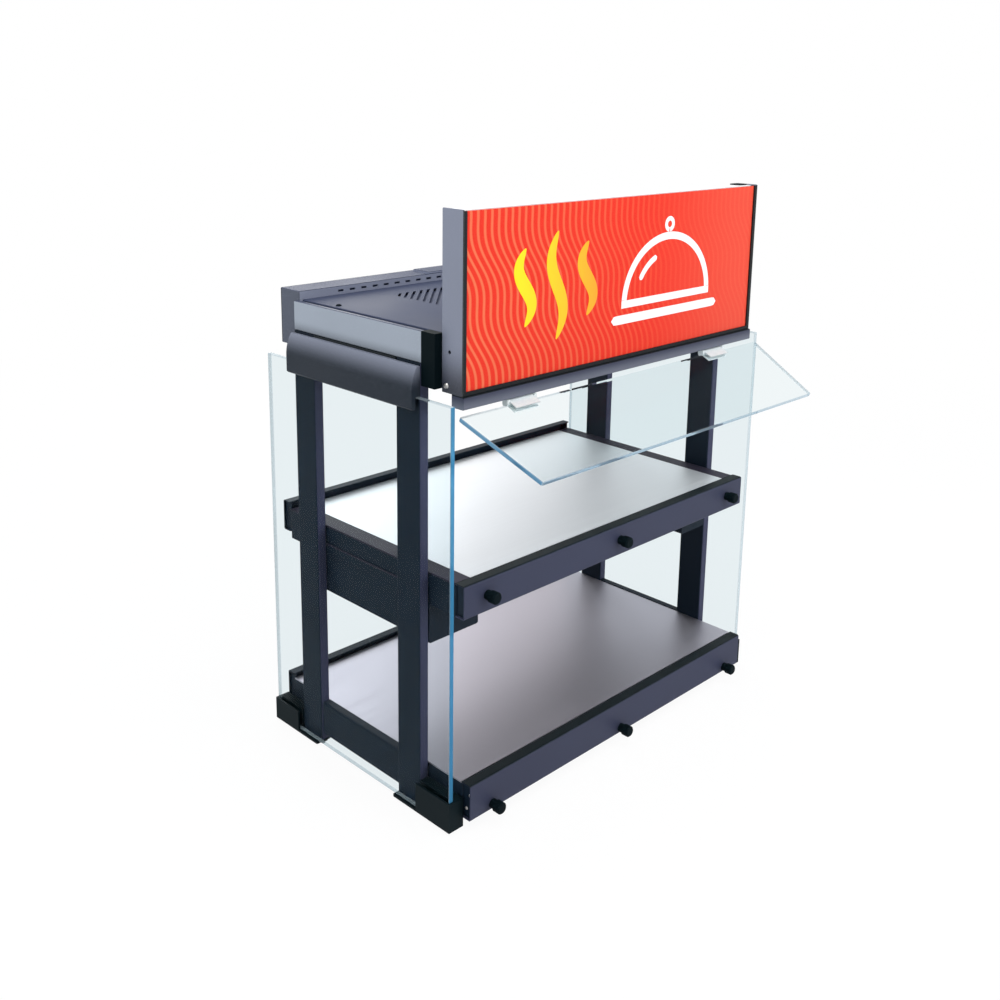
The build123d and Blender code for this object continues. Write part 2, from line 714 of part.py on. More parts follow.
def sign_cheek():
    """One side of the sign box, a plate with its rear edge folded in."""
    inner = sign_half - sign_sheet
    cheek = block(inner, sign_half, sign_front, sign_front + sign_depth, sign_bottom, sign_top)
    cheek = fillet(cheek.edges().filter_by(Axis.X).group_by(Axis.Z)[-1], 1.5)
    for x, y, z in sign_fix_points():
        cheek -= Pos(x, y, z) * Rot(0, 90, 0) * Cylinder(screw_hole, 4 * sign_sheet)
    return cheek


def sign_channel():
    """The channel under the sign box, open at the back, closed at its ends."""
    y0, y1 = glass_front, glass_front + channel_depth
    z0, z1 = channel_bottom, sign_bottom - seat
    body = block(-sign_half, sign_half, y0, y1, z0, z1)
    body = fillet(body.edges().filter_by(Axis.X).group_by(Axis.Y)[0], channel_bend)
    return body - block(-sign_half + sign_sheet, sign_half - sign_sheet, y0 + sign_sheet, y1 + 1,
                        z0 + sign_sheet, z1 - sign_sheet)


def sign_back():
    """The rear and top of the sign box, one folded sheet above the hood."""
    half = sign_half - sign_sheet - seat
    y1 = sign_front + sign_depth
    z0, z1 = hood_top_level + seat, sign_top - sign_sheet
    back = block(-half, half, y1 - sign_sheet, y1, z0, z1)
    lid_front = sign_front + track_depth + 2 * seat
    back += block(-half, half, lid_front, y1, z1 - sign_sheet, z1)
    foot_flange = block(-half, half, beam_start, y1, z0, z0 + sign_sheet)
    return back + foot_flange


def track_spans():
    """Where the insert's tracks and the insert lie, across the case and in depth."""
    outer = sign_half - sign_sheet - seat
    y0 = sign_front
    insert_y = (y0 + track_lip + moving_gap, y0 + track_lip + moving_gap + insert_thick)
    return outer, y0, insert_y


def sign_tracks():
    """Two black side tracks and a lower one, slotted for the insert."""
    outer, y0, insert_y = track_spans()
    slot = (insert_y[0] - moving_gap, insert_y[1] + moving_gap)
    z0, z1 = sign_bottom + seat, sign_top - sign_sheet
    side = block(outer - track_face, outer, y0, y0 + track_depth, z0, z1)
    side -= block(outer - track_face - 1, outer - track_floor, *slot, z0 - 1, z1 + 1)
    inner = outer - track_face - seat
    lower = block(-inner, inner, y0, y0 + track_depth, z0, z0 + track_face)
    lower -= block(-inner - 1, inner + 1, *slot, z0 + track_floor, z0 + track_face + 1)
    return Compound([side, mirrored(side), lower])


def sign_insert():
    """The sign, a flat panel that lifts out of its tracks."""
    outer, _, insert_y = track_spans()
    half = outer - track_floor - moving_gap
    return block(-half, half, *insert_y, sign_bottom + seat + track_floor + moving_gap, sign_top - insert_short)


# Guard glass
def tilted(solid):
    """From flat, with the hinge axis on X and the glass along -Y, to its display position."""
    return Pos(0, glass_front + guard_axis_y, guard_axis_z) * Rot(guard_tilt, 0, 0) * solid


def guard_glass():
    """A sheet narrower at its free edge, with eased corners."""
    y0, y1 = -guard_start, -guard_end
    top = glass_inner - guard_side_gap
    bottom = top - guard_taper
    outline = make_face(Polyline((-top, y0), (top, y0), (bottom, y1), (-bottom, y1), close=True))
    outline = fillet(outline.vertices(), 3)
    sheet = upright(outline, -guard_thick / 2, guard_thick / 2)
    return tilted(chamfer(sheet.edges().group_by(Axis.Z)[0] + sheet.edges().group_by(Axis.Z)[-1], glass_edge))


def guard_clamps():
    """Two clamps on the glass's upper edge, each with a barrel for the hinge pin."""
    clamps = []
    reach = guard_start + clamp_grip
    for x in (-hinge_x, hinge_x):
        half = guard_thick / 2 + clamp_jaw
        section = Circle(half) + rectangle(-reach, 0, -half, half)
        section -= rectangle(-reach - 1, -guard_start + seat, -guard_thick / 2 - seat / 2, guard_thick / 2 + seat / 2)
        section -= Circle(hinge_pin_radius + running_gap)
        clamps.append(tilted(along_x(section, x - clamp_length / 2, x + clamp_length / 2)))
    return Compound(clamps)


def guard_hinges():
    """Fixed ears under the sign channel, with the pins that the clamps turn on."""
    y, z = glass_front + guard_axis_y, guard_axis_z
    solids = []
    for x in (-hinge_x, hinge_x):
        inner = clamp_length / 2 + moving_gap
        pin = Pos(x, y, z) * Rot(0, 90, 0) * Cylinder(hinge_pin_radius, 2 * (inner + ear_thick))
        ear = Pos(y, z) * Circle(ear_radius)
        ear += rectangle(y - ear_radius, y + ear_radius, z, channel_bottom - seat / 2)
        for side in (-1, 1):
            start, end = sorted((x + side * inner, x + side * (inner + ear_thick)))
            pin += along_x(ear, start, end)
        solids.append(pin)
    return Compound(solids)


# Screws
def pan_head(place, direction):
    """A pan-head screw whose head seats on the surface at place, pointing out along direction."""
    outline = [(0, -screw_length), (screw_radius, -screw_length), (screw_radius, seat / 2),
               (screw_head_radius, seat / 2), (screw_head_radius * 0.7, screw_head_height), (0, screw_head_height)]
    return turned(outline, place, direction)


def sign_screws():
    """The lower screws through the cheeks of the sign box."""
    right = pan_head(sign_fix_points()[0], (1, 0, 0))
    return Compound([right, mirrored(right)])


base_tray, base_deck, base_heater, base_insulation = deck_pieces(
    base_top, glass_front - base_lead, base_lift, 0.0)
shelf_tray, shelf_deck, shelf_heater, shelf_insulation = deck_pieces(
    shelf_level, glass_front - shelf_lead, shelf_bottom, trim_width)

pieces = {
    "rubber_feet": rubber_feet(),
    "base_tray": base_tray,
    "base_deck": base_deck,
    "base_heater": base_heater,
    "base_insulation": base_insulation,
    "shelf_tray": shelf_tray,
    "shelf_deck": shelf_deck,
    "shelf_heater": shelf_heater,
    "shelf_insulation": shelf_insulation,
    "shelf_trims": shelf_trims(),
    "shelf_box_left": mirrored(shelf_box(shelf_box_left)),
    "shelf_box_right": shelf_box(shelf_box_right),
    "rail_end_caps": rail_end_caps(),
    "front_studs": front_studs(),
    "hood_cover": hood_cover(),
    "hood_liner": hood_liner(),
    "front_beam": front_beam(),
    "control_box": control_box(),
    "control_panel": control_panel(),
    "reflector": reflector(),
    "infrared_element": infrared_element(),
    "element_holders": element_holders(),
    "element_guard": element_guard(),
    "knob_shelf": knob(knob_shelf_x),
    "knob_base": knob(knob_shelf_x + knob_spacing),
    "thermostats": thermostats(),
    "switch_body": switch_body(),
    "switch_rocker": rocker(),
    "cord_gland": cord_gland(),
    "terminal_block": terminal_block(),
    "sign_channel": sign_channel(),
    "sign_back": sign_back(),
    "sign_tracks": sign_tracks(),
    "sign_insert": sign_insert(),
    "guard_glass": guard_glass(),
    "guard_clamps": guard_clamps(),
    "guard_hinges": guard_hinges(),
    "sign_screws": sign_screws(),
}
for end, start in post_starts.items():
    pieces |= left_and_right(f"post_{end}", post(start))
    pieces |= left_and_right(f"foot_{end}", foot(end))
for name, (y0, y1, z0, z1) in rail_spans().items():
    pieces[name] = channel_rail(y0, y1, z0, z1, "front" in name)
pieces |= left_and_right("side_glass", side_glass())
pieces |= left_and_right("top_rail", top_rail())
pieces |= left_and_right("base_side_rail", base_side_rail())
pieces |= left_and_right("hood_cheek", hood_cheek())
pieces |= left_and_right("sign_cheek", sign_cheek())

for name, piece in pieces.items():
    export_step(piece, f"parts/{name}.step")

everything = Compound([solid for piece in pieces.values() for solid in piece.solids()])
box = everything.bounding_box()
print(len(pieces), "pieces,", len(everything.solids()), "solids")
print("box", [round(v, 2) for v in (*box.min, *box.max)])
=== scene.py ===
import json
from math import cos, pi, radians, sin

import bpy
import numpy as np
from mathutils import Matrix, Vector


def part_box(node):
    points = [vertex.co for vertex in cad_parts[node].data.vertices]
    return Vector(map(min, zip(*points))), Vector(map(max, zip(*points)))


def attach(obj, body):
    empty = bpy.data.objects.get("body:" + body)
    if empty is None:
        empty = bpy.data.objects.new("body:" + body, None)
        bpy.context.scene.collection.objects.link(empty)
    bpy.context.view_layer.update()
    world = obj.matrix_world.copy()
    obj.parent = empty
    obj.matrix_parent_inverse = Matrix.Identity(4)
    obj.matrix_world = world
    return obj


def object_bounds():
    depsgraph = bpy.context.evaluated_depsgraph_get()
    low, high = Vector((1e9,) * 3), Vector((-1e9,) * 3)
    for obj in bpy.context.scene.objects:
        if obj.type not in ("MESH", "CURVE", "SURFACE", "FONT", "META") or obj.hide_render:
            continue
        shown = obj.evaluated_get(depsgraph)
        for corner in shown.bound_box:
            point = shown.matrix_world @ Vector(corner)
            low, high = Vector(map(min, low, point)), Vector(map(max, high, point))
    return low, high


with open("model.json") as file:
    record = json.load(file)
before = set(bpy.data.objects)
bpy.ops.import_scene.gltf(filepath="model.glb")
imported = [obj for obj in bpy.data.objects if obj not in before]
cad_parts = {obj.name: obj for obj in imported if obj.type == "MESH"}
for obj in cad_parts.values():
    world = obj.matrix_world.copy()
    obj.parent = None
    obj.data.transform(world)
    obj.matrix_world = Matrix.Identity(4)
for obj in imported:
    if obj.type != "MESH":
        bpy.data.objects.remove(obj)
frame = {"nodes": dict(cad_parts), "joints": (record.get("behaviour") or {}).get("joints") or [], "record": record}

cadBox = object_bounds()
nodes = frame["nodes"]


def nodeBox(name):
    # lowest and highest corner of a piece of the case, in metres
    low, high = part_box(name)
    return np.array(low), np.array(high)


# Camera, floor and lamps

cameraSet = {
    "place": (-1.1066, -1.0014, 0.8633),
    "yaw": 45.096,
    "pitch": 12.909,
    "roll": 0.840,
    "lens": 41.05,
    "sensor": 36,
    "shiftDown": 0.15,
}

stageSet = {
    "floorHalf": 12.0,
    "floorColour": (0.94, 0.95, 0.96, 1),
    "floorWhite": (0.94, 1.0),      # share of plain white seen on the floor, beside the case and far out
    "floorFade": (0.7, 2.6),        # distances from the middle between which it grows
    "worldColour": (0.93, 0.96, 1.0, 1),
    "worldStrength": 0.62,
}

lampSet = [
    # name, place, aims at, width, height, watts, colour
    ("overheadLamp", (-0.3, -0.4, 2.7), (0, 0, 0.3), 2.2, 2.2, 34, (1.0, 0.99, 0.97)),
    ("frontLamp", (0.9, -2.6, 1.3), (0, 0, 0.35), 1.6, 1.6, 34, (1.0, 0.97, 0.98)),
    ("sideLamp", (-2.8, 0.2, 1.7), (0, 0, 0.45), 1.2, 1.4, 10, (0.92, 0.97, 1.0)),
    ("backLamp", (1.0, 2.6, 1.6), (0, 0, 0.4), 1.6, 1.6, 22, (1.0, 1.0, 1.0)),
]


def makeCamera():
    # turned about the upright by the yaw, tipped down by the pitch, then rolled about its own line of sight
    data = bpy.data.cameras.new("photoCamera")
    data.lens = cameraSet["lens"]
    data.sensor_width = cameraSet["sensor"]
    data.shift_y = -cameraSet["shiftDown"]
    data.clip_start = 0.05
    data.clip_end = 60
    camera = bpy.data.objects.new("photoCamera", data)
    turn = Matrix.Rotation(-radians(cameraSet["yaw"]), 4, "Z")
    tip = Matrix.Rotation(radians(90 - cameraSet["pitch"]), 4, "X")
    roll = Matrix.Rotation(radians(cameraSet["roll"]), 4, "Z")
    camera.matrix_world = Matrix.Translation(cameraSet["place"]) @ turn @ tip @ roll
    bpy.context.scene.collection.objects.link(camera)
    bpy.context.scene.camera = camera


def seenDirectly(tree):
    # 1 for rays from the camera, from mirrors and through glass, 0 for rays that only carry light
    path = tree.nodes.new("ShaderNodeLightPath")
    first = tree.nodes.new("ShaderNodeMath")
    both = tree.nodes.new("ShaderNodeMath")
    first.operation = both.operation = "MAXIMUM"
    tree.links.new(path.outputs["Is Camera Ray"], first.inputs[0])
    tree.links.new(path.outputs["Is Glossy Ray"], first.inputs[1])
    tree.links.new(first.outputs[0], both.inputs[0])
    tree.links.new(path.outputs["Is Transmission Ray"], both.inputs[1])
    return both.outputs[0]


def showMix(tree, out, share, first, second):
    # what is seen: the first shader, and by its share the second
    mix = tree.nodes.new("ShaderNodeMixShader")
    tree.links.new(share, mix.inputs["Fac"])
    tree.links.new(first.outputs[0], mix.inputs[1])
    tree.links.new(second.outputs[0], mix.inputs[2])
    tree.links.new(mix.outputs[0], out.inputs["Surface"])


def makeFloor():
    half = stageSet["floorHalf"]
    corners = [(-half, -half, 0), (half, -half, 0), (half, half, 0), (-half, half, 0)]
    mesh = bpy.data.meshes.new("floor")
    mesh.from_pydata(corners, [], [(0, 1, 2, 3)])
    floor = bpy.data.objects.new("floor", mesh)
    bpy.context.scene.collection.objects.link(floor)
    material = bpy.data.materials.new("floorPaper")
    material.use_nodes = True
    tree = material.node_tree
    tree.nodes.clear()
    out = tree.nodes.new("ShaderNodeOutputMaterial")
    lit = tree.nodes.new("ShaderNodeBsdfDiffuse")
    lit.inputs["Color"].default_value = stageSet["floorColour"]
    white = tree.nodes.new("ShaderNodeEmission")
    white.inputs["Strength"].default_value = 1.0

    # the share of white grows with the distance from the middle
    place = tree.nodes.new("ShaderNodeTexCoord")
    away = tree.nodes.new("ShaderNodeVectorMath")
    away.operation = "LENGTH"
    tree.links.new(place.outputs["Object"], away.inputs[0])
    fade = tree.nodes.new("ShaderNodeMapRange")
    fade.interpolation_type = "SMOOTHSTEP"
    tree.links.new(away.outputs["Value"], fade.inputs["Value"])
    for socket, value in zip(list(fade.inputs)[1:5], (*stageSet["floorFade"], *stageSet["floorWhite"])):
        socket.default_value = value
    share = tree.nodes.new("ShaderNodeMath")
    share.operation = "MULTIPLY"
    tree.links.new(seenDirectly(tree), share.inputs[0])
    tree.links.new(fade.outputs["Result"], share.inputs[1])
    showMix(tree, out, share.outputs[0], lit, white)
    mesh.materials.append(material)


def makeWorld():
    world = bpy.data.worlds.new("studio")
    bpy.context.scene.world = world
    world.use_nodes = True
    tree = world.node_tree
    tree.nodes.clear()
    out = tree.nodes.new("ShaderNodeOutputWorld")
    soft = tree.nodes.new("ShaderNodeBackground")
    soft.inputs["Color"].default_value = stageSet["worldColour"]
    soft.inputs["Strength"].default_value = stageSet["worldStrength"]
    white = tree.nodes.new("ShaderNodeBackground")
    white.inputs["Color"].default_value = (1, 1, 1, 1)
    white.inputs["Strength"].default_value = 1.0
    showMix(tree, out, seenDirectly(tree), soft, white)


def makeLamps():
    for name, place, aim, width, height, watts, colour in lampSet:
        lamp = bpy.data.lights.new(name, "AREA")
        lamp.shape = "RECTANGLE"
        lamp.size, lamp.size_y = width, height
        lamp.energy = watts
        lamp.color = colour
        lampObject = bpy.data.objects.new(name, lamp)
        lampObject.location = place
        lampObject.rotation_mode = "QUATERNION"
        lampObject.rotation_quaternion = (Vector(place) - Vector(aim)).to_track_quat("Z", "Y")
        bpy.context.scene.collection.objects.link(lampObject)


makeCamera()
makeFloor()
makeWorld()
makeLamps()
bpy.context.scene.view_settings.view_transform = "Standard"
print("stage: camera, floor, world and", len(lampSet), "lamps")


# Finishes, all worked out from Object coordinates in metres

class Finish:
    # a material under way: its node tree, its Principled shader and the Object coordinates
    def __init__(self, name):
        self.material = bpy.data.materials.new(name)
        self.material.use_nodes = True
        self.tree = self.material.node_tree
        self.shader = self.tree.nodes["Principled BSDF"]
        self.out = self.tree.nodes["Material Output"]
        self.place = self.tree.nodes.new("ShaderNodeTexCoord").outputs["Object"]

    def put(self, socket, value):
        if isinstance(value, bpy.types.NodeSocket):
            self.tree.links.new(value, socket)
        elif isinstance(value, (tuple, list)) and len(value) == 3 and socket.type == "RGBA":
            socket.default_value = (*value, 1)
        else:
            socket.default_value = value

    def set(self, **values):
        names = {"colour": "Base Color", "roughness": "Roughness", "metallic": "Metallic", "ior": "IOR",
                 "specular": "Specular IOR Level", "glass": "Transmission Weight",
                 "coat": "Coat Weight", "coatRoughness": "Coat Roughness", "normal": "Normal"}
        for key, value in values.items():
            self.put(self.shader.inputs[names[key]], value)

    def math(self, operation, *values):
        node = self.tree.nodes.new("ShaderNodeMath")
        node.operation = operation
        for socket, value in zip(node.inputs, values):
            self.put(socket, value)
        return node.outputs[0]

    def axes(self):
        node = self.tree.nodes.new("ShaderNodeSeparateXYZ")
        self.put(node.inputs[0], self.place)
        return node.outputs

    def scaled(self, scale):
        node = self.tree.nodes.new("ShaderNodeMapping")
        self.put(node.inputs["Vector"], self.place)
        node.inputs["Scale"].default_value = scale
        return node.outputs[0]

    def noise(self, scale, detail, vector=None, rough=0.5, distortion=0.0):
        node = self.tree.nodes.new("ShaderNodeTexNoise")
        self.put(node.inputs["Vector"], vector or self.place)
        node.inputs["Scale"].default_value = scale
        node.inputs["Detail"].default_value = detail
        node.inputs["Roughness"].default_value = rough
        node.inputs["Distortion"].default_value = distortion
        return node.outputs["Fac"]

    def cells(self, scale):
        node = self.tree.nodes.new("ShaderNodeTexVoronoi")
        self.put(node.inputs["Vector"], self.place)
        node.inputs["Scale"].default_value = scale
        return node.outputs["Distance"]

    def ranged(self, value, low, high, start, end, smooth=False):
        # value carried from low..high to start..end, held at both ends
        node = self.tree.nodes.new("ShaderNodeMapRange")
        node.interpolation_type = "SMOOTHSTEP" if smooth else "LINEAR"
        for socket, v in zip(node.inputs, (value, low, high, start, end)):
            self.put(socket, v)
        return node.outputs["Result"]

    def overNoise(self, noise, start, end):
        # most of a noise lies between 0.3 and 0.7
        return self.ranged(noise, 0.3, 0.7, start, end)

    def overCells(self, cell, start, end):
        # cells reach from 0 in the middle to about 0.7 at their borders
        return self.ranged(cell, 0.0, 0.7, start, end)

    def blend(self, share, first, second):
        node = self.tree.nodes.new("ShaderNodeMix")
        node.data_type = "RGBA"
        self.put(node.inputs["Factor"], share)
        self.put(node.inputs[6], first)
        self.put(node.inputs[7], second)
        return node.outputs[2]

    def bump(self, height, depth, strength):
        node = self.tree.nodes.new("ShaderNodeBump")
        node.inputs["Strength"].default_value = strength
        node.inputs["Distance"].default_value = depth
        self.put(node.inputs["Height"], height)
        return node.outputs["Normal"]


def shade(colour, factor):
    return tuple(min(1.0, c * factor) for c in colour)


def powderCoat(name, colour, roughness, specular, fades=()):
    # fine orange peel, faint clouds and pale flecks
    # each fade = (axis, start, end, colour at the start) leads from another colour along one axis; most fades
    # paint light or shade onto the coat
    f = Finish(name)
    cloud = f.noise(7.0, 3.0)
    peel = f.noise(620.0, 2.0)
    fleck = f.ranged(f.noise(2300.0, 1.0), 0.66, 0.78, 0.0, 0.5)
    base = f.blend(cloud, shade(colour, 0.88), shade(colour, 1.12))
    for axis, start, end, other in fades:
        base = f.blend(f.ranged(f.axes()[axis], start, end, 0.0, 1.0, smooth=True), other, base)
    f.set(colour=f.blend(fleck, base, shade(colour, 1.9)), specular=specular,
          roughness=f.overNoise(cloud, roughness - 0.05, roughness + 0.05),
          normal=f.bump(peel, 0.00006, 0.14))
    return f.material


def brushedSheet(name, colour, roughness, streak=0.10):
    # long fine scratches across the case over broad soft clouds
    f = Finish(name)
    lines = f.noise(1.0, 2.0, f.scaled((6, 1500, 1500)))
    cloud = f.noise(5.0, 4.0)
    base = f.blend(lines, shade(colour, 1 - streak), shade(colour, 1 + streak))
    base = f.blend(0.06, base, f.blend(cloud, shade(colour, 0.6), shade(colour, 1.3)))
    f.set(colour=base, metallic=1.0, roughness=f.overNoise(lines, roughness - 0.07, roughness + 0.07),
          normal=f.bump(lines, 0.00003, 0.4))
    return f.material


def mouldedPlastic(name, colour, roughness, grain=900.0):
    # spark-eroded texture: close-set rounded cells
    f = Finish(name)
    cell = f.cells(grain)
    cloud = f.noise(30.0, 2.0)
    f.set(colour=f.blend(cloud, shade(colour, 0.85), shade(colour, 1.2)), specular=0.15,
          roughness=f.overCells(cell, roughness - 0.06, roughness + 0.08),
          normal=f.bump(cell, 0.00008, 0.45))
    return f.material


def zincPlate(name, colour, roughness, metallic=1.0):
    # faint spangle cells with a warm and a cool tint
    f = Finish(name)
    spangle = f.cells(420.0)
    tint = f.noise(60.0, 2.0)
    warm = (colour[0] * 1.06, colour[1] * 1.03, colour[2] * 0.92)
    base = f.blend(tint, shade(colour, 0.92), warm)
    base = f.blend(f.ranged(spangle, 0.1, 0.6, 0.0, 0.35), base, shade(colour, 0.72))
    f.set(colour=base, metallic=metallic, roughness=f.overCells(spangle, roughness - 0.05, roughness + 0.10),
          normal=f.bump(f.noise(900.0, 2.0), 0.00003, 0.4))
    return f.material


def rolledSheet(name, colour, roughness):
    # mill finish: short rolling streaks and a dull bloom
    f = Finish(name)
    streaks = f.noise(1.0, 3.0, f.scaled((40, 700, 700)))
    bloom = f.noise(11.0, 4.0)
    f.set(colour=f.blend(f.overNoise(bloom, 0.0, 1.0), shade(colour, 0.84), shade(colour, 1.08)),
          metallic=1.0, roughness=f.overNoise(streaks, roughness - 0.08, roughness + 0.08),
          normal=f.bump(streaks, 0.00003, 0.3))
    return f.material


def mineralWool(name, colour):
    # long bent fibres over soft lumps
    f = Finish(name)
    fibre = f.noise(1.0, 5.0, f.scaled((160, 700, 420)), rough=0.7, distortion=1.5)
    lump = f.noise(70.0, 3.0)
    f.set(colour=f.blend(f.overNoise(fibre, 0.0, 1.0), shade(colour, 0.66), shade(colour, 1.12)),
          roughness=0.95, specular=0.2, normal=f.bump(f.math("ADD", fibre, lump), 0.0012, 0.8))
    return f.material


def heaterBlanket(name, colour):
    # foil with the ribs of the wire below: even waves across the deck, sharpened
    f = Finish(name)
    ribPitch = 0.016
    y = f.axes()[1]
    rib = f.math("ABSOLUTE", f.math("SINE", f.math("MULTIPLY", y, pi / ribPitch)))
    crease = f.noise(260.0, 3.0)
    height = f.math("ADD", f.math("POWER", rib, 6.0), f.math("MULTIPLY", crease, 0.4))
    f.set(colour=f.blend(crease, shade(colour, 0.8), shade(colour, 1.15)), metallic=1.0,
          roughness=f.overNoise(crease, 0.25, 0.42),
          normal=f.bump(height, 0.0006, 0.7))
    return f.material


def glazedCeramic(name, colour):
    f = Finish(name)
    speck = f.ranged(f.noise(900.0, 2.0), 0.60, 0.70, 0.0, 0.35)
    base = f.blend(f.noise(40.0, 2.0), shade(colour, 0.93), colour)
    f.set(colour=f.blend(speck, base, shade(colour, 0.55)),
          roughness=f.overNoise(f.noise(120.0, 2.0), 0.22, 0.38), coat=0.3, coatRoughness=0.15,
          normal=f.bump(f.noise(500.0, 2.0), 0.00008, 0.4))
    return f.material


def heatedSheath(name, colour):
    # oxide bands: straw and blue tints that drift along the rod
    f = Finish(name)
    band = f.noise(1.0, 3.0, f.scaled((14, 120, 120)))
    base = f.blend(f.ranged(band, 0.35, 0.65, 0.0, 1.0), (0.30, 0.22, 0.15), (0.14, 0.15, 0.20))
    f.set(colour=f.blend(0.5, base, colour), metallic=1.0, roughness=f.overNoise(band, 0.38, 0.55),
          normal=f.bump(f.noise(1200.0, 2.0), 0.00003, 0.4))
    return f.material


def paddedRubber(name, colour):
    f = Finish(name)
    grain = f.noise(1500.0, 2.0)
    dust = f.ranged(f.noise(90.0, 3.0), 0.5, 0.8, 0.0, 0.4)
    f.set(colour=f.blend(dust, colour, shade(colour, 2.4)), roughness=f.overNoise(grain, 0.72, 0.92),
          specular=0.35, normal=f.bump(grain, 0.0001, 0.6))
    return f.material


glassSet = {
    "tint": (0.80, 0.866, 0.886),
    "guardTint": (0.875, 0.925, 0.935),
    "bright": (0.045, 0.20, 0.36),      # the two edges that catch the light
    "faint": (0.42, 0.52, 0.58),        # all other ground edges
    "band": 0.0018,                     # width of the coloured rim
    "ior": 1.045,
    "shadow": (0.93, 0.96, 0.97, 1),
    "faintTint": 0.75,                  # share of their colour that the other edges show
    "faintSolid": 0.3,                  # how far an edge stops the view through the pane
    "brightSolid": 0.85,
    "brightRough": 0.25,
}


def clearGlass(name, rims, pane):
    # clear between two faces, coloured where a ray meets the ground rim; lamps shine through it
    f = Finish(name)
    faint, bright = rims(f)
    tint = f.blend(f.math("MULTIPLY", faint, glassSet["faintTint"]), pane, glassSet["faint"])
    solid = f.math("MULTIPLY", faint, glassSet["faintSolid"])
    f.set(ior=glassSet["ior"], specular=0.3, normal=f.bump(f.noise(9.0, 3.0), 0.00002, 0.1))
    if bright is None:
        f.set(colour=tint, glass=f.math("SUBTRACT", 1.0, solid), roughness=0.0)
    else:
        solid = f.math("MAXIMUM", solid, f.math("MULTIPLY", bright, glassSet["brightSolid"]))
        f.set(colour=f.blend(bright, tint, glassSet["bright"]), glass=f.math("SUBTRACT", 1.0, solid),
              roughness=f.ranged(bright, 0.0, 1.0, 0.0, glassSet["brightRough"]))
    path = f.tree.nodes.new("ShaderNodeLightPath")
    clear = f.tree.nodes.new("ShaderNodeBsdfTransparent")
    clear.inputs["Color"].default_value = glassSet["shadow"]
    showMix(f.tree, f.out, path.outputs["Is Shadow Ray"], f.shader, clear)
    return f.material


def sideRims(name, brightFront):
    # near any of the pane's four edges, and near its front edge where that one is bright
    low, high = nodeBox(name)

    def masks(f):
        x, y, z = f.axes()
        front = f.math("SUBTRACT", y, low[1])
        near = f.math("MINIMUM", front, f.math("SUBTRACT", high[1], y))
        near = f.math("MINIMUM", near, f.math("SUBTRACT", z, low[2]))
        near = f.math("MINIMUM", near, f.math("SUBTRACT", high[2], z))
        bright = f.ranged(front, 0.0, glassSet["band"], 1.0, 0.0, smooth=True) if brightFront else None
        return f.ranged(near, 0.0, glassSet["band"], 1.0, 0.0, smooth=True), bright
    return masks


guardSet = {
    "tilt": 26.0,                   # degrees below level at rest
    "topHalf": 0.291,               # half its width at the upper edge
    "taper": 0.021,                 # lost at each end by the lower edge
    "start": 0.005,                 # from the hinge to the upper edge
    "length": 0.1195,
    "leftEdge": 0.9,                # how blue its left edge is: the glass's own blue, strengthened as painted light where the edge catches it
    "lowerEdge": (0.60, 0.25),      # and its lower edge, at the left and at the right, also partly painted light
    "lowerHalf": 0.27,
}


def pivotOf(name):
    return next(joint for joint in frame["joints"] if joint["name"] == name)["pos_m"]


def guardRims(f):
    # the same for the tilting pane, in coordinates laid along it from its hinge, without its upper edge
    pivot = pivotOf("guard_hinge")
    x, y, z = f.axes()
    tilt = radians(guardSet["tilt"])
    dy = f.math("SUBTRACT", y, pivot[1])
    dz = f.math("SUBTRACT", z, pivot[2])
    out = f.math("ADD", f.math("MULTIPLY", dy, -cos(tilt)), f.math("MULTIPLY", dz, -sin(tilt)))
    run = f.math("SUBTRACT", out, guardSet["start"])
    slope = guardSet["taper"] / guardSet["length"]
    half = f.math("SUBTRACT", guardSet["topHalf"], f.math("MULTIPLY", run, slope))
    below = f.math("SUBTRACT", guardSet["length"], run)
    near = f.math("MINIMUM", f.math("SUBTRACT", half, f.math("ABSOLUTE", x)), below)
    bright = f.ranged(f.math("ADD", half, x), 0.0, glassSet["band"], guardSet["leftEdge"], 0.0, smooth=True)
    blue = f.ranged(x, -guardSet["lowerHalf"], guardSet["lowerHalf"], *guardSet["lowerEdge"])
    under = f.math("MULTIPLY", f.ranged(below, 0.0, glassSet["band"], 1.0, 0.0, smooth=True), blue)
    return f.ranged(near, 0.0, glassSet["band"], 1.0, 0.0, smooth=True), f.math("MAXIMUM", bright, under)


signSet = {
    "red": (0.75, 0.016, 0.0075),
    "lightRed": (0.76, 0.031, 0.015),
    "stripe": (0.82, 0.20, 0.088),
    "faded": (0.75, 0.072, 0.042),       # towards the right end
    "pitch": 0.0106,
    "wave": 0.095,
    "waveFrom": 0.011,                  # height at which a wave starts
    "drift": 0.33,                      # stripes run this far sideways for each unit of height
    "sway": 0.0056,
    "drawn": (-0.1, 0.95),              # part of the sine that turns from ground to stripe
    "strength": (0.76, 0.10),           # of the stripes, at the left end and further right
    "fadeOver": 0.36,
    "fadedFrom": 0.02,                  # across the sign, where the ground starts to fade
    "fadedMost": 0.8,                   # share of the faded red at the right end
}


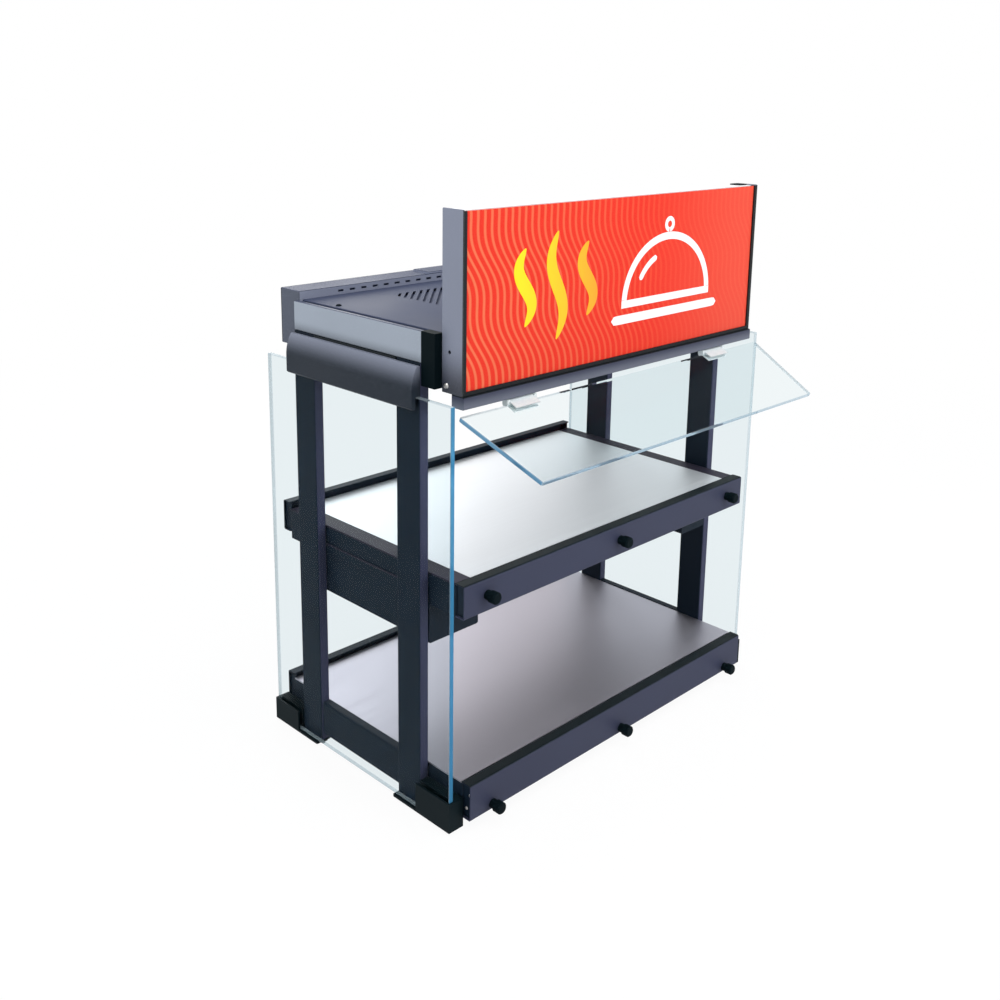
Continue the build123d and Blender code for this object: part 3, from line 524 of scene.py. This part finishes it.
def signFilm(name):
    # wavy stripes that run down to the right: the place across the sign is moved by the height and by a sine
    # of it, and a sine of that makes the stripes, fading out from left to right
    f = Finish(name)
    x, y, z = f.axes()
    low, high = nodeBox("sign_insert")
    height = f.math("SUBTRACT", z, signSet["waveFrom"])
    swing = f.math("SINE", f.math("MULTIPLY", height, 2 * pi / signSet["wave"]))
    sway = f.math("MULTIPLY", swing, signSet["sway"])
    across = f.math("ADD", f.math("MULTIPLY", z, signSet["drift"]), sway)
    stripe = f.math("SINE", f.math("MULTIPLY", f.math("ADD", x, across), 2 * pi / signSet["pitch"]))
    stripe = f.ranged(stripe, *signSet["drawn"], 0.0, 1.0, smooth=True)
    fading = f.ranged(x, low[0], low[0] + signSet["fadeOver"], *signSet["strength"])
    ground = f.blend(f.noise(5.0, 2.0), signSet["red"], signSet["lightRed"])
    pale = f.ranged(x, signSet["fadedFrom"], high[0], 0.0, signSet["fadedMost"], smooth=True)
    ground = f.blend(pale, ground, signSet["faded"])
    dots = f.overNoise(f.noise(1800.0, 1.0), 0.0, 0.05)
    base = f.blend(f.math("MULTIPLY", stripe, fading), ground, signSet["stripe"])
    f.set(colour=f.blend(dots, base, (0.97, 0.45, 0.25)), specular=0.08,
          roughness=f.overNoise(f.noise(300.0, 2.0), 0.34, 0.44),
          normal=f.bump(f.noise(60.0, 2.0), 0.00004, 0.25))
    return f.material


inkSet = {
    # colours at the left and at the right, and the places across the sign between which they change
    "yellowInk": ((0.95, 0.72, 0.0), (0.95, 0.32, 0.01), -0.19, -0.05),
    "whiteInk": ((0.88, 0.88, 0.86), (0.90, 0.90, 0.90), -0.1, 0.2),
}


def printInk(name):
    # screen-printed ink with a fine halftone grain
    f = Finish(name)
    left, right, start, end = inkSet[name]
    grain = f.cells(900.0)
    base = f.blend(f.ranged(f.axes()[0], start, end, 0.0, 1.0), left, right)
    f.set(colour=f.blend(f.ranged(grain, 0.2, 0.7, 0.0, 0.08), base, shade(left, 0.8)),
          roughness=f.overCells(grain, 0.32, 0.42), specular=0.3, normal=f.bump(grain, 0.00002, 0.3))
    return f.material


knobSet = {
    # where the pointer's paint ends or starts, each with a narrow soft border
    "line": (0.0008, 0.0010),           # to both sides of the knob's middle
    "above": (0.004, 0.0044),           # above the knob's middle
    "before": (-0.0150, -0.0148),       # before the knob's outer face
    "paint": (0.80, 0.80, 0.78),
}


def knobPlastic(name, node):
    # moulded black plastic with a painted pointer line along the grip, on its top and down over the skirt
    f = Finish(name)
    low, high = nodeBox(node)
    x, y, z = f.axes()
    centre = (low + high) / 2
    line = f.ranged(f.math("ABSOLUTE", f.math("SUBTRACT", x, centre[0])), *knobSet["line"], 1.0, 0.0)
    upper = f.ranged(z, *(centre[2] + away for away in knobSet["above"]), 0.0, 1.0)
    outer = f.ranged(y, *(high[1] + away for away in knobSet["before"]), 0.0, 1.0)
    mark = f.math("MULTIPLY", line, f.math("MULTIPLY", upper, outer))
    cell = f.cells(900.0)
    base = f.blend(f.noise(30.0, 2.0), (0.015, 0.016, 0.019), (0.022, 0.023, 0.026))
    f.set(colour=f.blend(mark, base, knobSet["paint"]),
          roughness=f.overCells(cell, 0.38, 0.50), normal=f.bump(cell, 0.00008, 0.45))
    return f.material


rockerSet = {
    "rest": 12.0,                   # degrees of tilt at rest
    "bar": (0.0006, 0.0021),        # half its width and half its height
    "ring": (0.0018, 0.0007),       # radius and stroke
    "apart": 0.0036,                # of both marks from the middle
    "soft": 0.0002,                 # width of a mark's soft border
    "paint": (0.85, 0.85, 0.85),
}


def rockerPlastic(name):
    # red moulded plastic with a white bar above and a white ring below, in coordinates along its tilted face
    f = Finish(name)
    pivot = pivotOf("power_switch")
    x, y, z = f.axes()
    tilt = radians(rockerSet["rest"])
    dx = f.math("ABSOLUTE", f.math("SUBTRACT", x, pivot[0]))
    dy = f.math("SUBTRACT", y, pivot[1])
    dz = f.math("SUBTRACT", z, pivot[2])
    up = f.math("ADD", f.math("MULTIPLY", dz, cos(tilt)), f.math("MULTIPLY", dy, sin(tilt)))
    (halfWide, halfTall), soft = rockerSet["bar"], rockerSet["soft"]
    fromBar = f.math("ABSOLUTE", f.math("SUBTRACT", up, rockerSet["apart"]))
    bar = f.math("MULTIPLY", f.ranged(dx, halfWide, halfWide + soft, 1.0, 0.0),
                 f.ranged(fromBar, halfTall, halfTall + soft, 1.0, 0.0))
    radius, stroke = rockerSet["ring"]
    down = f.math("ADD", up, rockerSet["apart"])
    away = f.math("SQRT", f.math("ADD", f.math("POWER", dx, 2.0), f.math("MULTIPLY", down, down)))
    fromRing = f.math("ABSOLUTE", f.math("SUBTRACT", away, radius))
    ring = f.ranged(fromRing, stroke / 2, stroke / 2 + soft, 1.0, 0.0)
    mark = f.math("MAXIMUM", bar, ring)
    cell = f.cells(700.0)
    red = f.blend(f.noise(80.0, 2.0), (0.50, 0.02, 0.015), (0.60, 0.03, 0.02))
    f.set(colour=f.blend(mark, red, rockerSet["paint"]),
          roughness=f.overCells(cell, 0.26, 0.36), normal=f.bump(cell, 0.00005, 0.3))
    return f.material


coatSet = {
    "black": (0.0050, 0.0118, 0.0220),
    "darkest": (0.002, 0.006, 0.008),
    "post": (0.044, 0.046, 0.086),      # painted light: the posts' faces towards the customer, drawn lighter than their sides
    "rail": (0.036, 0.041, 0.072),
    "channelFoot": (0.145, 0.158, 0.200),
    "grey": (0.36, 0.40, 0.46),
    # painted light and shade on the grey coat: next its upward faces drawn darker, then the control box's upright
    # faces drawn lighter, then the box's ends drawn darker
    "cover": (0.055, 0.067, 0.116),
    "box": (0.36, 0.39, 0.50),
    "boxEndShade": (0.100, 0.112, 0.145),
    # painted light and shade: the sign cheeks lit above and darker towards their lower edge
    "cheek": (0.23, 0.25, 0.32),
    "cheekFootShade": (0.033, 0.037, 0.053),
    # painted light: the lit crown of the top rails
    "topRail": (0.25, 0.27, 0.34),
    "trim": (0.026, 0.023, 0.037),
    "lid": (0.80, 0.81, 0.82),
}
# painted shade towards the lower edge of the hood cheeks
coatSet["greyFootShade"] = shade(coatSet["grey"], 0.66)


def edgeFades(node, *rows):
    # row: axis, end of the piece, distances from it between which another colour gives way, and that colour; most
    # rows paint light or shade
    ends = dict(zip(("low", "high"), nodeBox(node)))
    fades = []
    for axis, end, start, stop, other in rows:
        k = "xyz".index(axis)
        fades.append((k, ends[end][k] + start, ends[end][k] + stop, coatSet[other]))
    return fades


# name, function, then what the function takes; coats: colour, roughness, specular level, fades
finishTable = [
    ("blackCoat", powderCoat, coatSet["black"], 0.50, 0.12),
    # the darkest coat, also on the studs, the cover's screws and the sign's cap; on the front beam it is painted
    # shade, for the shadowed gap behind the sign
    ("beamCoat", powderCoat, coatSet["darkest"], 0.60, 0.04),
    # painted light: both coats draw the posts' front faces lighter than their sides
    ("postCoatFront", powderCoat, coatSet["black"], 0.50, 0.12,
     edgeFades("post_front_left", ("y", "low", 0.0002, 0.0009, "post"))),
    ("postCoatRear", powderCoat, coatSet["black"], 0.50, 0.12,
     edgeFades("post_rear_left", ("y", "low", 0.0002, 0.0009, "post"))),
    ("footCoat", powderCoat, shade(coatSet["darkest"], 1.3), 0.55, 0.07),
    # painted shade: the top edge of each front rail drawn darkest, for the shadowed gap along it
    ("baseRailCoat", powderCoat, coatSet["rail"], 0.50, 0.12,
     edgeFades("base_front_rail", ("z", "high", -0.0004, -0.0018, "darkest"))),
    ("shelfRailCoat", powderCoat, coatSet["rail"], 0.50, 0.12,
     edgeFades("shelf_front_rail", ("z", "high", -0.0004, -0.0018, "darkest"))),
    # lighter over its lowest 16 mm; painted shade: its top edge drawn darkest, for the shadowed gap under the sign
    # panel
    ("channelCoat", powderCoat, coatSet["rail"], 0.50, 0.12,
     edgeFades("sign_channel", ("z", "low", 0.0, 0.016, "channelFoot"),
               ("z", "high", -0.0004, -0.0018, "darkest"))),
    ("trimCoat", powderCoat, coatSet["trim"], 0.50, 0.12),
    # painted shade: the hood cheeks darker towards their lower edge, and their top drawn dark for the shadowed
    # seam under the cover
    ("hoodCheekCoat", powderCoat, coatSet["grey"], 0.45, 0.15,
     edgeFades("hood_cheek_left", ("z", "low", 0.0, 0.014, "greyFootShade"),
               ("z", "high", -0.0003, -0.0010, "cover"))),
    # painted shade: the hood's cover, and the tops of the service cover and of the control box, in the darker
    # colour of upward faces; the box's ends darker as well
    ("coverCoat", powderCoat, coatSet["cover"], 0.55, 0.10),
    ("serviceCoat", powderCoat, coatSet["box"], 0.50, 0.12,
     edgeFades("control_box", ("z", "high", 0.0018, 0.0012, "cover"))),
    ("boxCoat", powderCoat, coatSet["box"], 0.50, 0.12,
     edgeFades("control_box", ("x", "low", 0.0003, 0.0010, "boxEndShade"),
               ("x", "high", -0.0003, -0.0010, "boxEndShade"), ("z", "high", -0.0003, -0.0010, "cover"))),
    # painted light and shade: the top rails lit at their crown and black towards their lower edge, their top drawn
    # darkest for the shadowed seam under the hood
    ("topRailCoat", powderCoat, coatSet["topRail"], 0.45, 0.20,
     edgeFades("top_rail_left", ("z", "high", -0.0295, 0.005, "black"),
               ("z", "high", -0.0022, -0.0026, "darkest"))),
    # painted shade: the sign cheeks darker towards their lower edge and darkest on their front faces
    ("signCheekCoat", powderCoat, coatSet["cheek"], 0.45, 0.40,
     edgeFades("sign_cheek_left", ("z", "low", 0.003, 0.059, "cheekFootShade"),
               ("y", "low", 0.0002, 0.0008, "darkest"))),
    ("signBackCoat", powderCoat, coatSet["lid"], 0.50, 0.30,
     edgeFades("sign_back", ("z", "high", -0.0030, -0.0012, "black"))),
    ("bareDeck", brushedSheet, (0.45, 0.43, 0.48), 0.46),
    ("brightDeck", brushedSheet, (0.80, 0.82, 0.84), 0.52, 0.06),
    ("polished", brushedSheet, (0.88, 0.88, 0.89), 0.12, 0.03),
    ("rolled", rolledSheet, (0.62, 0.62, 0.64), 0.42),
    ("blackPlastic", mouldedPlastic, (0.008, 0.010, 0.012), 0.50),
    ("knobShelf", knobPlastic, "knob_shelf"),
    ("knobBase", knobPlastic, "knob_base"),
    ("rocker", rockerPlastic),
    ("rubber", paddedRubber, (0.022, 0.022, 0.024)),
    ("wool", mineralWool, (0.78, 0.72, 0.55)),
    ("blanket", heaterBlanket, (0.72, 0.62, 0.44)),
    ("ceramic", glazedCeramic, (0.86, 0.83, 0.76)),
    ("sheath", heatedSheath, (0.22, 0.20, 0.20)),
    ("zinc", zincPlate, (0.58, 0.58, 0.60), 0.32),
    ("paleZinc", zincPlate, (0.74, 0.81, 0.86), 0.60, 0.35),
    ("signFilm", signFilm),
    ("yellowInk", printInk),
    ("whiteInk", printInk),
    ("guardGlass", clearGlass, guardRims, glassSet["guardTint"]),
    ("sideGlassLeft", clearGlass, sideRims("side_glass_left", True), glassSet["tint"]),
    ("sideGlassRight", clearGlass, sideRims("side_glass_right", False), glassSet["tint"]),
]
finishes = {name: make(name, *rest) for name, make, *rest in finishTable}

slotFinish = {
    "black_paint": "blackCoat", "grey_paint": "hoodCheekCoat", "bare_deck": "bareDeck",
    "bright_deck": "brightDeck", "plated_sheet": "rolled", "polished_sheet": "polished",
    "sign_face": "signFilm", "black_plastic": "blackPlastic", "rubber": "rubber",
    "insulation": "wool", "heater_foil": "blanket", "ceramic": "ceramic",
    "element_sheath": "sheath", "hardware": "zinc",
}
ownFinish = {
    "hood_cover": "coverCoat", "control_box": "boxCoat", "top_rail_left": "topRailCoat",
    "top_rail_right": "topRailCoat", "sign_cheek_left": "signCheekCoat", "sign_cheek_right": "signCheekCoat",
    "sign_back": "signBackCoat", "base_front_rail": "baseRailCoat", "shelf_front_rail": "shelfRailCoat",
    "sign_channel": "channelCoat", "front_beam": "beamCoat", "guard_glass": "guardGlass",
    "side_glass_left": "sideGlassLeft", "side_glass_right": "sideGlassRight", "shelf_trims": "trimCoat",
    "knob_shelf": "knobShelf", "knob_base": "knobBase", "switch_rocker": "rocker",
    "guard_clamps": "paleZinc", "guard_hinges": "paleZinc", "front_studs": "beamCoat",
}

for side in ("left", "right"):
    for end, label in (("front", "Front"), ("rear", "Rear")):
        ownFinish[f"post_{end}_{side}"] = f"postCoat{label}"
        ownFinish[f"foot_{end}_{side}"] = "footCoat"

for part in frame["record"]["subparts"]:
    name = part["node"]
    finish = finishes[ownFinish.get(name) or slotFinish[part["material_slot"]]]
    nodes[name].data.materials.clear()
    nodes[name].data.materials.append(finish)
print("finishes:", len(finishes), "on", len(nodes), "pieces of the case")


# New pieces: every solid is a stack of closed rings of points, computed as whole arrays

def ringFaces(count, around):
    # four-sided faces from each ring to the next, right round
    ring = np.arange(count - 1)[:, None] * around
    step = np.arange(around)[None, :]
    after = (step + 1) % around
    corners = [ring + step, ring + after, ring + around + after, ring + around + step]
    return np.stack(corners, -1).reshape(-1, 4)


def addPiece(name, solids, finish, body, smooth=False):
    # each solid is an array of rings, rings x points x 3, closed at both ends; where its signed volume, the
    # sum of the triple products of its triangles, comes out negative, its faces are turned round
    points, faces, start = [], [], 0
    for rings in solids:
        count, around = rings.shape[:2]
        flat = rings.reshape(-1, 3)
        quads = ringFaces(count, around)
        last = (count - 1) * around + np.arange(around)
        first = np.arange(around)[::-1]
        fans = [np.stack([np.full(around - 2, cap[0]), cap[1:-1], cap[2:]], 1) for cap in (first, last)]
        corners = np.concatenate([quads[:, :3], quads[:, [0, 2, 3]], *fans])
        a, b, c = (flat[corners[:, k]] - flat.mean(axis=0) for k in range(3))
        turn = -1 if (np.cross(a, b) * c).sum() < 0 else 1
        faces += [f[::turn] for f in (quads + start).tolist()]
        faces += [(first + start)[::turn].tolist(), (last + start)[::turn].tolist()]
        points.append(flat)
        start += len(flat)
    mesh = bpy.data.meshes.new(name)
    mesh.from_pydata(np.concatenate(points).tolist(), [], faces)
    mesh.update()
    if smooth:
        mesh.shade_smooth()
        mesh.set_sharp_from_angle(angle=radians(35))
    mesh.materials.append(finishes[finish])
    piece = bpy.data.objects.new(name, mesh)
    bpy.context.scene.collection.objects.link(piece)
    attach(piece, body)


def ribbon(centre, half, y0, y1):
    # a flat band in the plane of x and z: both edges are set off square to the line by half its width
    run = np.gradient(centre, axis=0)
    run /= np.linalg.norm(run, axis=1, keepdims=True)
    side = np.stack([-run[:, 1], run[:, 0]], 1) * np.asarray(half)[:, None]
    corners = [(centre + side, y0), (centre - side, y0), (centre - side, y1), (centre + side, y1)]
    return np.stack([np.stack([edge[:, 0], np.full(len(edge), y), edge[:, 1]], 1) for edge, y in corners], 1)


def rounding(t, sharp):
    # 1 along most of a band, falling to nearly 0 as a quarter of a circle at both ends
    return np.sqrt(np.clip(1 - np.abs(2 * t - 1) ** sharp, 0.0004, 1))


def arc(centre, radii, start, end, steps):
    # points round an ellipse, angles in degrees from +x towards +z
    angle = np.radians(np.linspace(start, end, steps))
    return np.stack([centre[0] + radii[0] * np.cos(angle), centre[1] + radii[1] * np.sin(angle)], 1)


motifSet = {
    "thick": 0.0002,
    "wisps": [-0.182, -0.128, -0.074],      # three rising wisps, across the sign
    "wispLow": [0.598, 0.576, 0.598],
    "wispTall": [0.090, 0.128, 0.090],
    "wispSwing": 0.011,
    "wispHalf": 0.0095,
    "dome": (0.085, 0.602),                 # middle of the dome's lower edge
    "domeRadii": (0.088, 0.080),
    "stroke": 0.0048,
    "plateHalf": 0.112,
    "plateDown": 0.019,                     # below the dome's lower edge
    "ring": (0.0072, 0.0029),               # radius of the grip and half its stroke
    "ringSpan": (-84, 264),                 # degrees
    "overlap": 1.06,                        # the dome's line ends this many strokes up
    "shine": (0.74, 112, 152),              # share of the dome's radii, and degrees
    "shineStroke": 0.8,
    "plateStroke": 1.2,
}


def makeMotif():
    # three tapering wisps, x swinging as a sine of the height, beside a covered dish drawn in even strokes
    front = float(nodeBox("sign_insert")[0][1])
    y = (front - motifSet["thick"], front)
    t = np.linspace(0, 1, 48)
    wisps = []
    for x, z, tall in zip(motifSet["wisps"], motifSet["wispLow"], motifSet["wispTall"]):
        line = np.stack([x + motifSet["wispSwing"] * np.sin(2 * pi * t), z + tall * t], 1)
        wisps.append(ribbon(line, motifSet["wispHalf"] * np.sin(pi * np.clip(t, 0.004, 0.996)) ** 0.55, *y))
    addPiece("signWisps", wisps, "yellowInk", "sign_panel")
    (cx, cz), (rx, rz), stroke = motifSet["dome"], motifSet["domeRadii"], motifSet["stroke"]
    edge, reach, (ring, ringStroke) = rx + stroke, motifSet["plateHalf"], motifSet["ring"]
    # the dome's line ends on top of its lower edge
    meet = float(np.degrees(np.arcsin(stroke * motifSet["overlap"] / rz)))
    ringUp = rz + stroke + ring + ringStroke
    inner, *shineSpan = motifSet["shine"]
    plate = np.stack([np.linspace(cx - reach, cx + reach, 48), np.full(48, cz - motifSet["plateDown"])], 1)
    lines = [(arc((cx, cz), (rx, rz), meet, 180 - meet, 64), stroke * np.ones(64)),
             (arc((cx, cz), (rx * inner, rz * inner), *shineSpan, 24),
              stroke * motifSet["shineStroke"] * rounding(np.linspace(0, 1, 24), 14)),
             (np.stack([np.linspace(cx - edge, cx + edge, 8), np.full(8, cz)], 1), stroke * np.ones(8)),
             (plate, stroke * motifSet["plateStroke"] * rounding(np.linspace(0, 1, 48), 40)),
             (arc((cx, cz + ringUp), (ring, ring), *motifSet["ringSpan"], 40), ringStroke * np.ones(40))]
    addPiece("signDish", [ribbon(line, half, *y) for line, half in lines], "whiteInk",
             "sign_panel")


screwSet = {
    "radius": 0.0036,
    "crown": 0.0019,
    "fall": 0.75,               # share of the crown lost at the rim
    "around": 40,
    "rings": 18,
    "groove": 0.00075,          # half width of the cross
    "reach": 0.0023,            # length of its arms
    "depth": 0.0010,
    "panel": [(x, z) for x in (-0.268, -0.090, 0.120, 0.268) for z in (0.5465, 0.6035)],
    "railEnd": [(0.0036, 0.046), (0.0098, 0.027)],      # behind the rail's face, and height
    "railEndSize": 0.62,                                # these heads are smaller
    "coverIn": 0.009,                                   # in from the cover's side edges
    "coverAlong": (0.014, 0.216),                       # behind its front edge
}


def panHead(place, out, side, size=1.0):
    # a crowned head: height falls with the fourth power of the radius, less a cross of two grooves
    across = np.cross(out, side)
    angle = np.linspace(0, 2 * pi, screwSet["around"], endpoint=False)
    share = np.concatenate([[1.0, 1.0], np.linspace(0.99, 0.04, screwSet["rings"])])[:, None]
    radius = share * screwSet["radius"]
    u, v = radius * np.cos(angle), radius * np.sin(angle)
    crown = screwSet["crown"] * (1 - screwSet["fall"] * (radius / screwSet["radius"]) ** 4) * np.ones_like(u)
    thin, long = np.minimum(np.abs(u), np.abs(v)), np.maximum(np.abs(u), np.abs(v))
    grooved = (thin < screwSet["groove"]) & (long < screwSet["reach"])
    height = crown - screwSet["depth"] * grooved
    height[0] = 0
    return np.asarray(place) + size * (u[..., None] * side + v[..., None] * across + height[..., None] * out)


def hoodTop():
    # the level of the cover that holds most of its area: its upper faces, weighted by their areas
    mesh = nodes["hood_cover"].data
    count = len(mesh.polygons)
    area, normal, centre = np.empty(count), np.empty(count * 3), np.empty(count * 3)
    mesh.polygons.foreach_get("area", area)
    mesh.polygons.foreach_get("normal", normal)
    mesh.polygons.foreach_get("center", centre)
    upward = normal.reshape(-1, 3)[:, 2] > 0.99
    height = centre.reshape(-1, 3)[:, 2]
    levels = np.unique(np.round(height[upward], 4))
    sums = [area[upward & (np.abs(height - level) < 0.0002)].sum() for level in levels]
    return float(levels[int(np.argmax(sums))])


def makeScrews():
    panelRear = float(nodeBox("control_panel")[1][1])
    out, side = np.array([0, 1.0, 0]), np.array([1.0, 0, 0])
    addPiece("panelScrews", [panHead((x, panelRear, z), out, side) for x, z in screwSet["panel"]], "zinc",
             "case", smooth=True)
    low, high = nodeBox("rail_end_caps")
    rail = nodeBox("base_front_rail")[0][1]
    heads = []
    for sign, face in ((-1.0, low[0]), (1.0, high[0])):
        outward = np.array([sign, 0, 0])
        heads += [panHead((face, rail + y, z), outward, np.array([0, 1.0, 0]), screwSet["railEndSize"])
                  for y, z in screwSet["railEnd"]]
    addPiece("railEndScrews", heads, "zinc", "case", smooth=True)
    low, high = nodeBox("hood_cover")
    up = np.array([0, 0, 1.0])
    heads = [panHead((x, low[1] + y, hoodTop()), up, side)
             for x in (low[0] + screwSet["coverIn"], high[0] - screwSet["coverIn"])
             for y in screwSet["coverAlong"]]
    addPiece("coverScrews", heads, "beamCoat", "case", smooth=True)


def roundedPlate(low, high, corner, edge):
    # four quarter circles make the outline; its upper ring is drawn in by the edge, which leaves a chamfer
    angle = np.radians(np.linspace(0, 90, 6)[None, :] + np.array([0, 90, 180, 270])[:, None])
    ends = np.array([(high[0], high[1]), (low[0], high[1]), (low[0], low[1]), (high[0], low[1])])
    inward = np.array([(-1, -1), (1, -1), (1, 1), (-1, 1)]) * corner
    centres = (ends + inward)[:, None, :]

    def outline(radius, z):
        xy = (centres + radius * np.stack([np.cos(angle), np.sin(angle)], -1)).reshape(-1, 2)
        return np.concatenate([xy, np.full((len(xy), 1), z)], 1)
    rings = [outline(corner, low[2]), outline(corner, high[2] - edge), outline(corner - edge, high[2])]
    return np.stack(rings)


plateSet = {
    # the service cover on the control box: its left edge, its thickness, and how far in it keeps from the
    # box's right, front and rear edges
    "serviceFrom": -0.066,
    "serviceThick": 0.0022,
    "serviceIn": (0.006, 0.002, 0.003),
    "capLong": 0.018,           # the black cap on the sign box's right end
    "capBehind": 0.008,
    "baffleThick": 0.0008,      # baffles behind the vents of the hood and of the box's riser
    "baffleGap": 0.0026,
    "coverSheet": 0.0015,
    "hoodHalf": 0.19,
    "hoodAlong": (0.125, 0.262),
    "riserGap": 0.0035,
    "riserIn": 0.02,            # from the box's ends
    "riserFoot": 0.0006,        # above the hood's cover
    "riserTop": 0.0018,         # below the box's top
    "flange": (0.283, 0.0022, 0.0016),      # height, thickness and depth of the lip along the shelf's ends
}

cornerSet = {
    # radius of a plate's upright edges, and the chamfer round its top
    "service": (0.003, 0.0006),
    "cap": (0.0015, 0.0003),
    "hood": (0.006, 0.0002),
    "riser": (0.0002, 0.0001),
    "flange": (0.0004, 0.0003),
}


def makePlates():
    boxLow, boxHigh = nodeBox("control_box")
    right, front, rear = plateSet["serviceIn"]
    service = roundedPlate((plateSet["serviceFrom"], boxLow[1] + front, boxHigh[2]),
                           (boxHigh[0] - right, boxHigh[1] - rear, boxHigh[2] + plateSet["serviceThick"]),
                           *cornerSet["service"])
    addPiece("serviceCover", [service], "serviceCoat", "case")
    low, high = nodeBox("sign_back")
    cap = roundedPlate((high[0] - plateSet["capLong"], low[1] + plateSet["capBehind"], high[2]),
                       (high[0], high[1], cadBox[1][2]), *cornerSet["cap"])
    addPiece("signCap", [cap], "beamCoat", "case")
    cover, top = nodeBox("hood_cover")
    under = top[2] - plateSet["coverSheet"] - plateSet["baffleGap"]
    start, end = plateSet["hoodAlong"]
    hood = roundedPlate((-plateSet["hoodHalf"], cover[1] + start, under - plateSet["baffleThick"]),
                        (plateSet["hoodHalf"], cover[1] + end, under), *cornerSet["hood"])
    front = boxLow[1] + plateSet["riserGap"]
    riser = roundedPlate((boxLow[0] + plateSet["riserIn"], front, top[2] + plateSet["riserFoot"]),
                         (boxHigh[0] - plateSet["riserIn"], front + plateSet["baffleThick"],
                          boxHigh[2] - plateSet["riserTop"]), *cornerSet["riser"])
    addPiece("ventBaffles", [hood, riser], "coverCoat", "case")
    height, thick, depth = plateSet["flange"]
    posts = nodeBox("post_front_right")[1][1], nodeBox("post_rear_right")[0][1]
    tray = nodeBox("shelf_tray")[1][0]
    right = roundedPlate((tray, posts[0], height), (tray + depth, posts[1], height + thick),
                         *cornerSet["flange"])
    left = right * np.array([-1.0, 1, 1])
    addPiece("shelfFlanges", [right, left], "trimCoat", "case")


dialSet = {
    "knobs": ("knob_shelf", "knob_base"),
    "inner": 0.0205,
    "outer": 0.0245,
    "from": 30.0,               # degrees from the off mark, in the knob's turning direction
    "to": 300.0,
    "ticks": 10,
    "tickHalf": 0.0004,
    "thick": 0.00025,
    "band": (0.0272, 0.0002, 0.0014),       # radius of the growing band, half its width at both ends
    "offMark": (0.0275, 0.0016, 0.0003),    # the small ring's place above the knob, radius and half stroke
}


def makeDials():
    # ticks stand on a circle round each knob; a band outside them grows evenly from the lowest heat to the
    # highest
    panelRear = float(nodeBox("control_panel")[1][1])
    y = (panelRear, panelRear + dialSet["thick"])
    radius, thin, thick = dialSet["band"]
    above, small, stroke = dialSet["offMark"]
    prints = []
    for knob in dialSet["knobs"]:
        low, high = nodeBox(knob)
        centre = np.array([(low[0] + high[0]) / 2, (low[2] + high[2]) / 2])
        heats = np.linspace(dialSet["from"], dialSet["to"], dialSet["ticks"])
        for turn in np.radians(np.concatenate([[0.0], heats])):
            out = np.array([np.sin(turn), np.cos(turn)])
            line = centre + np.linspace(dialSet["inner"], dialSet["outer"], 3)[:, None] * out
            prints.append(ribbon(line, dialSet["tickHalf"] * np.ones(3), *y))
        t = np.linspace(0, 1, 60)
        turn = np.radians(dialSet["from"] + (dialSet["to"] - dialSet["from"]) * t)
        ring = centre + radius * np.stack([np.sin(turn), np.cos(turn)], 1)
        prints.append(ribbon(ring, thin + (thick - thin) * t, *y))
        mark = arc(centre + np.array([0, above]), (small, small), 0, 350, 24)
        prints.append(ribbon(mark, stroke * np.ones(24), *y))
    addPiece("dialMarks", prints, "whiteInk", "case")


makeMotif()
makeScrews()
makePlates()
makeDials()
print("new pieces: sign motif, screws, cover plates, baffles and dial marks")
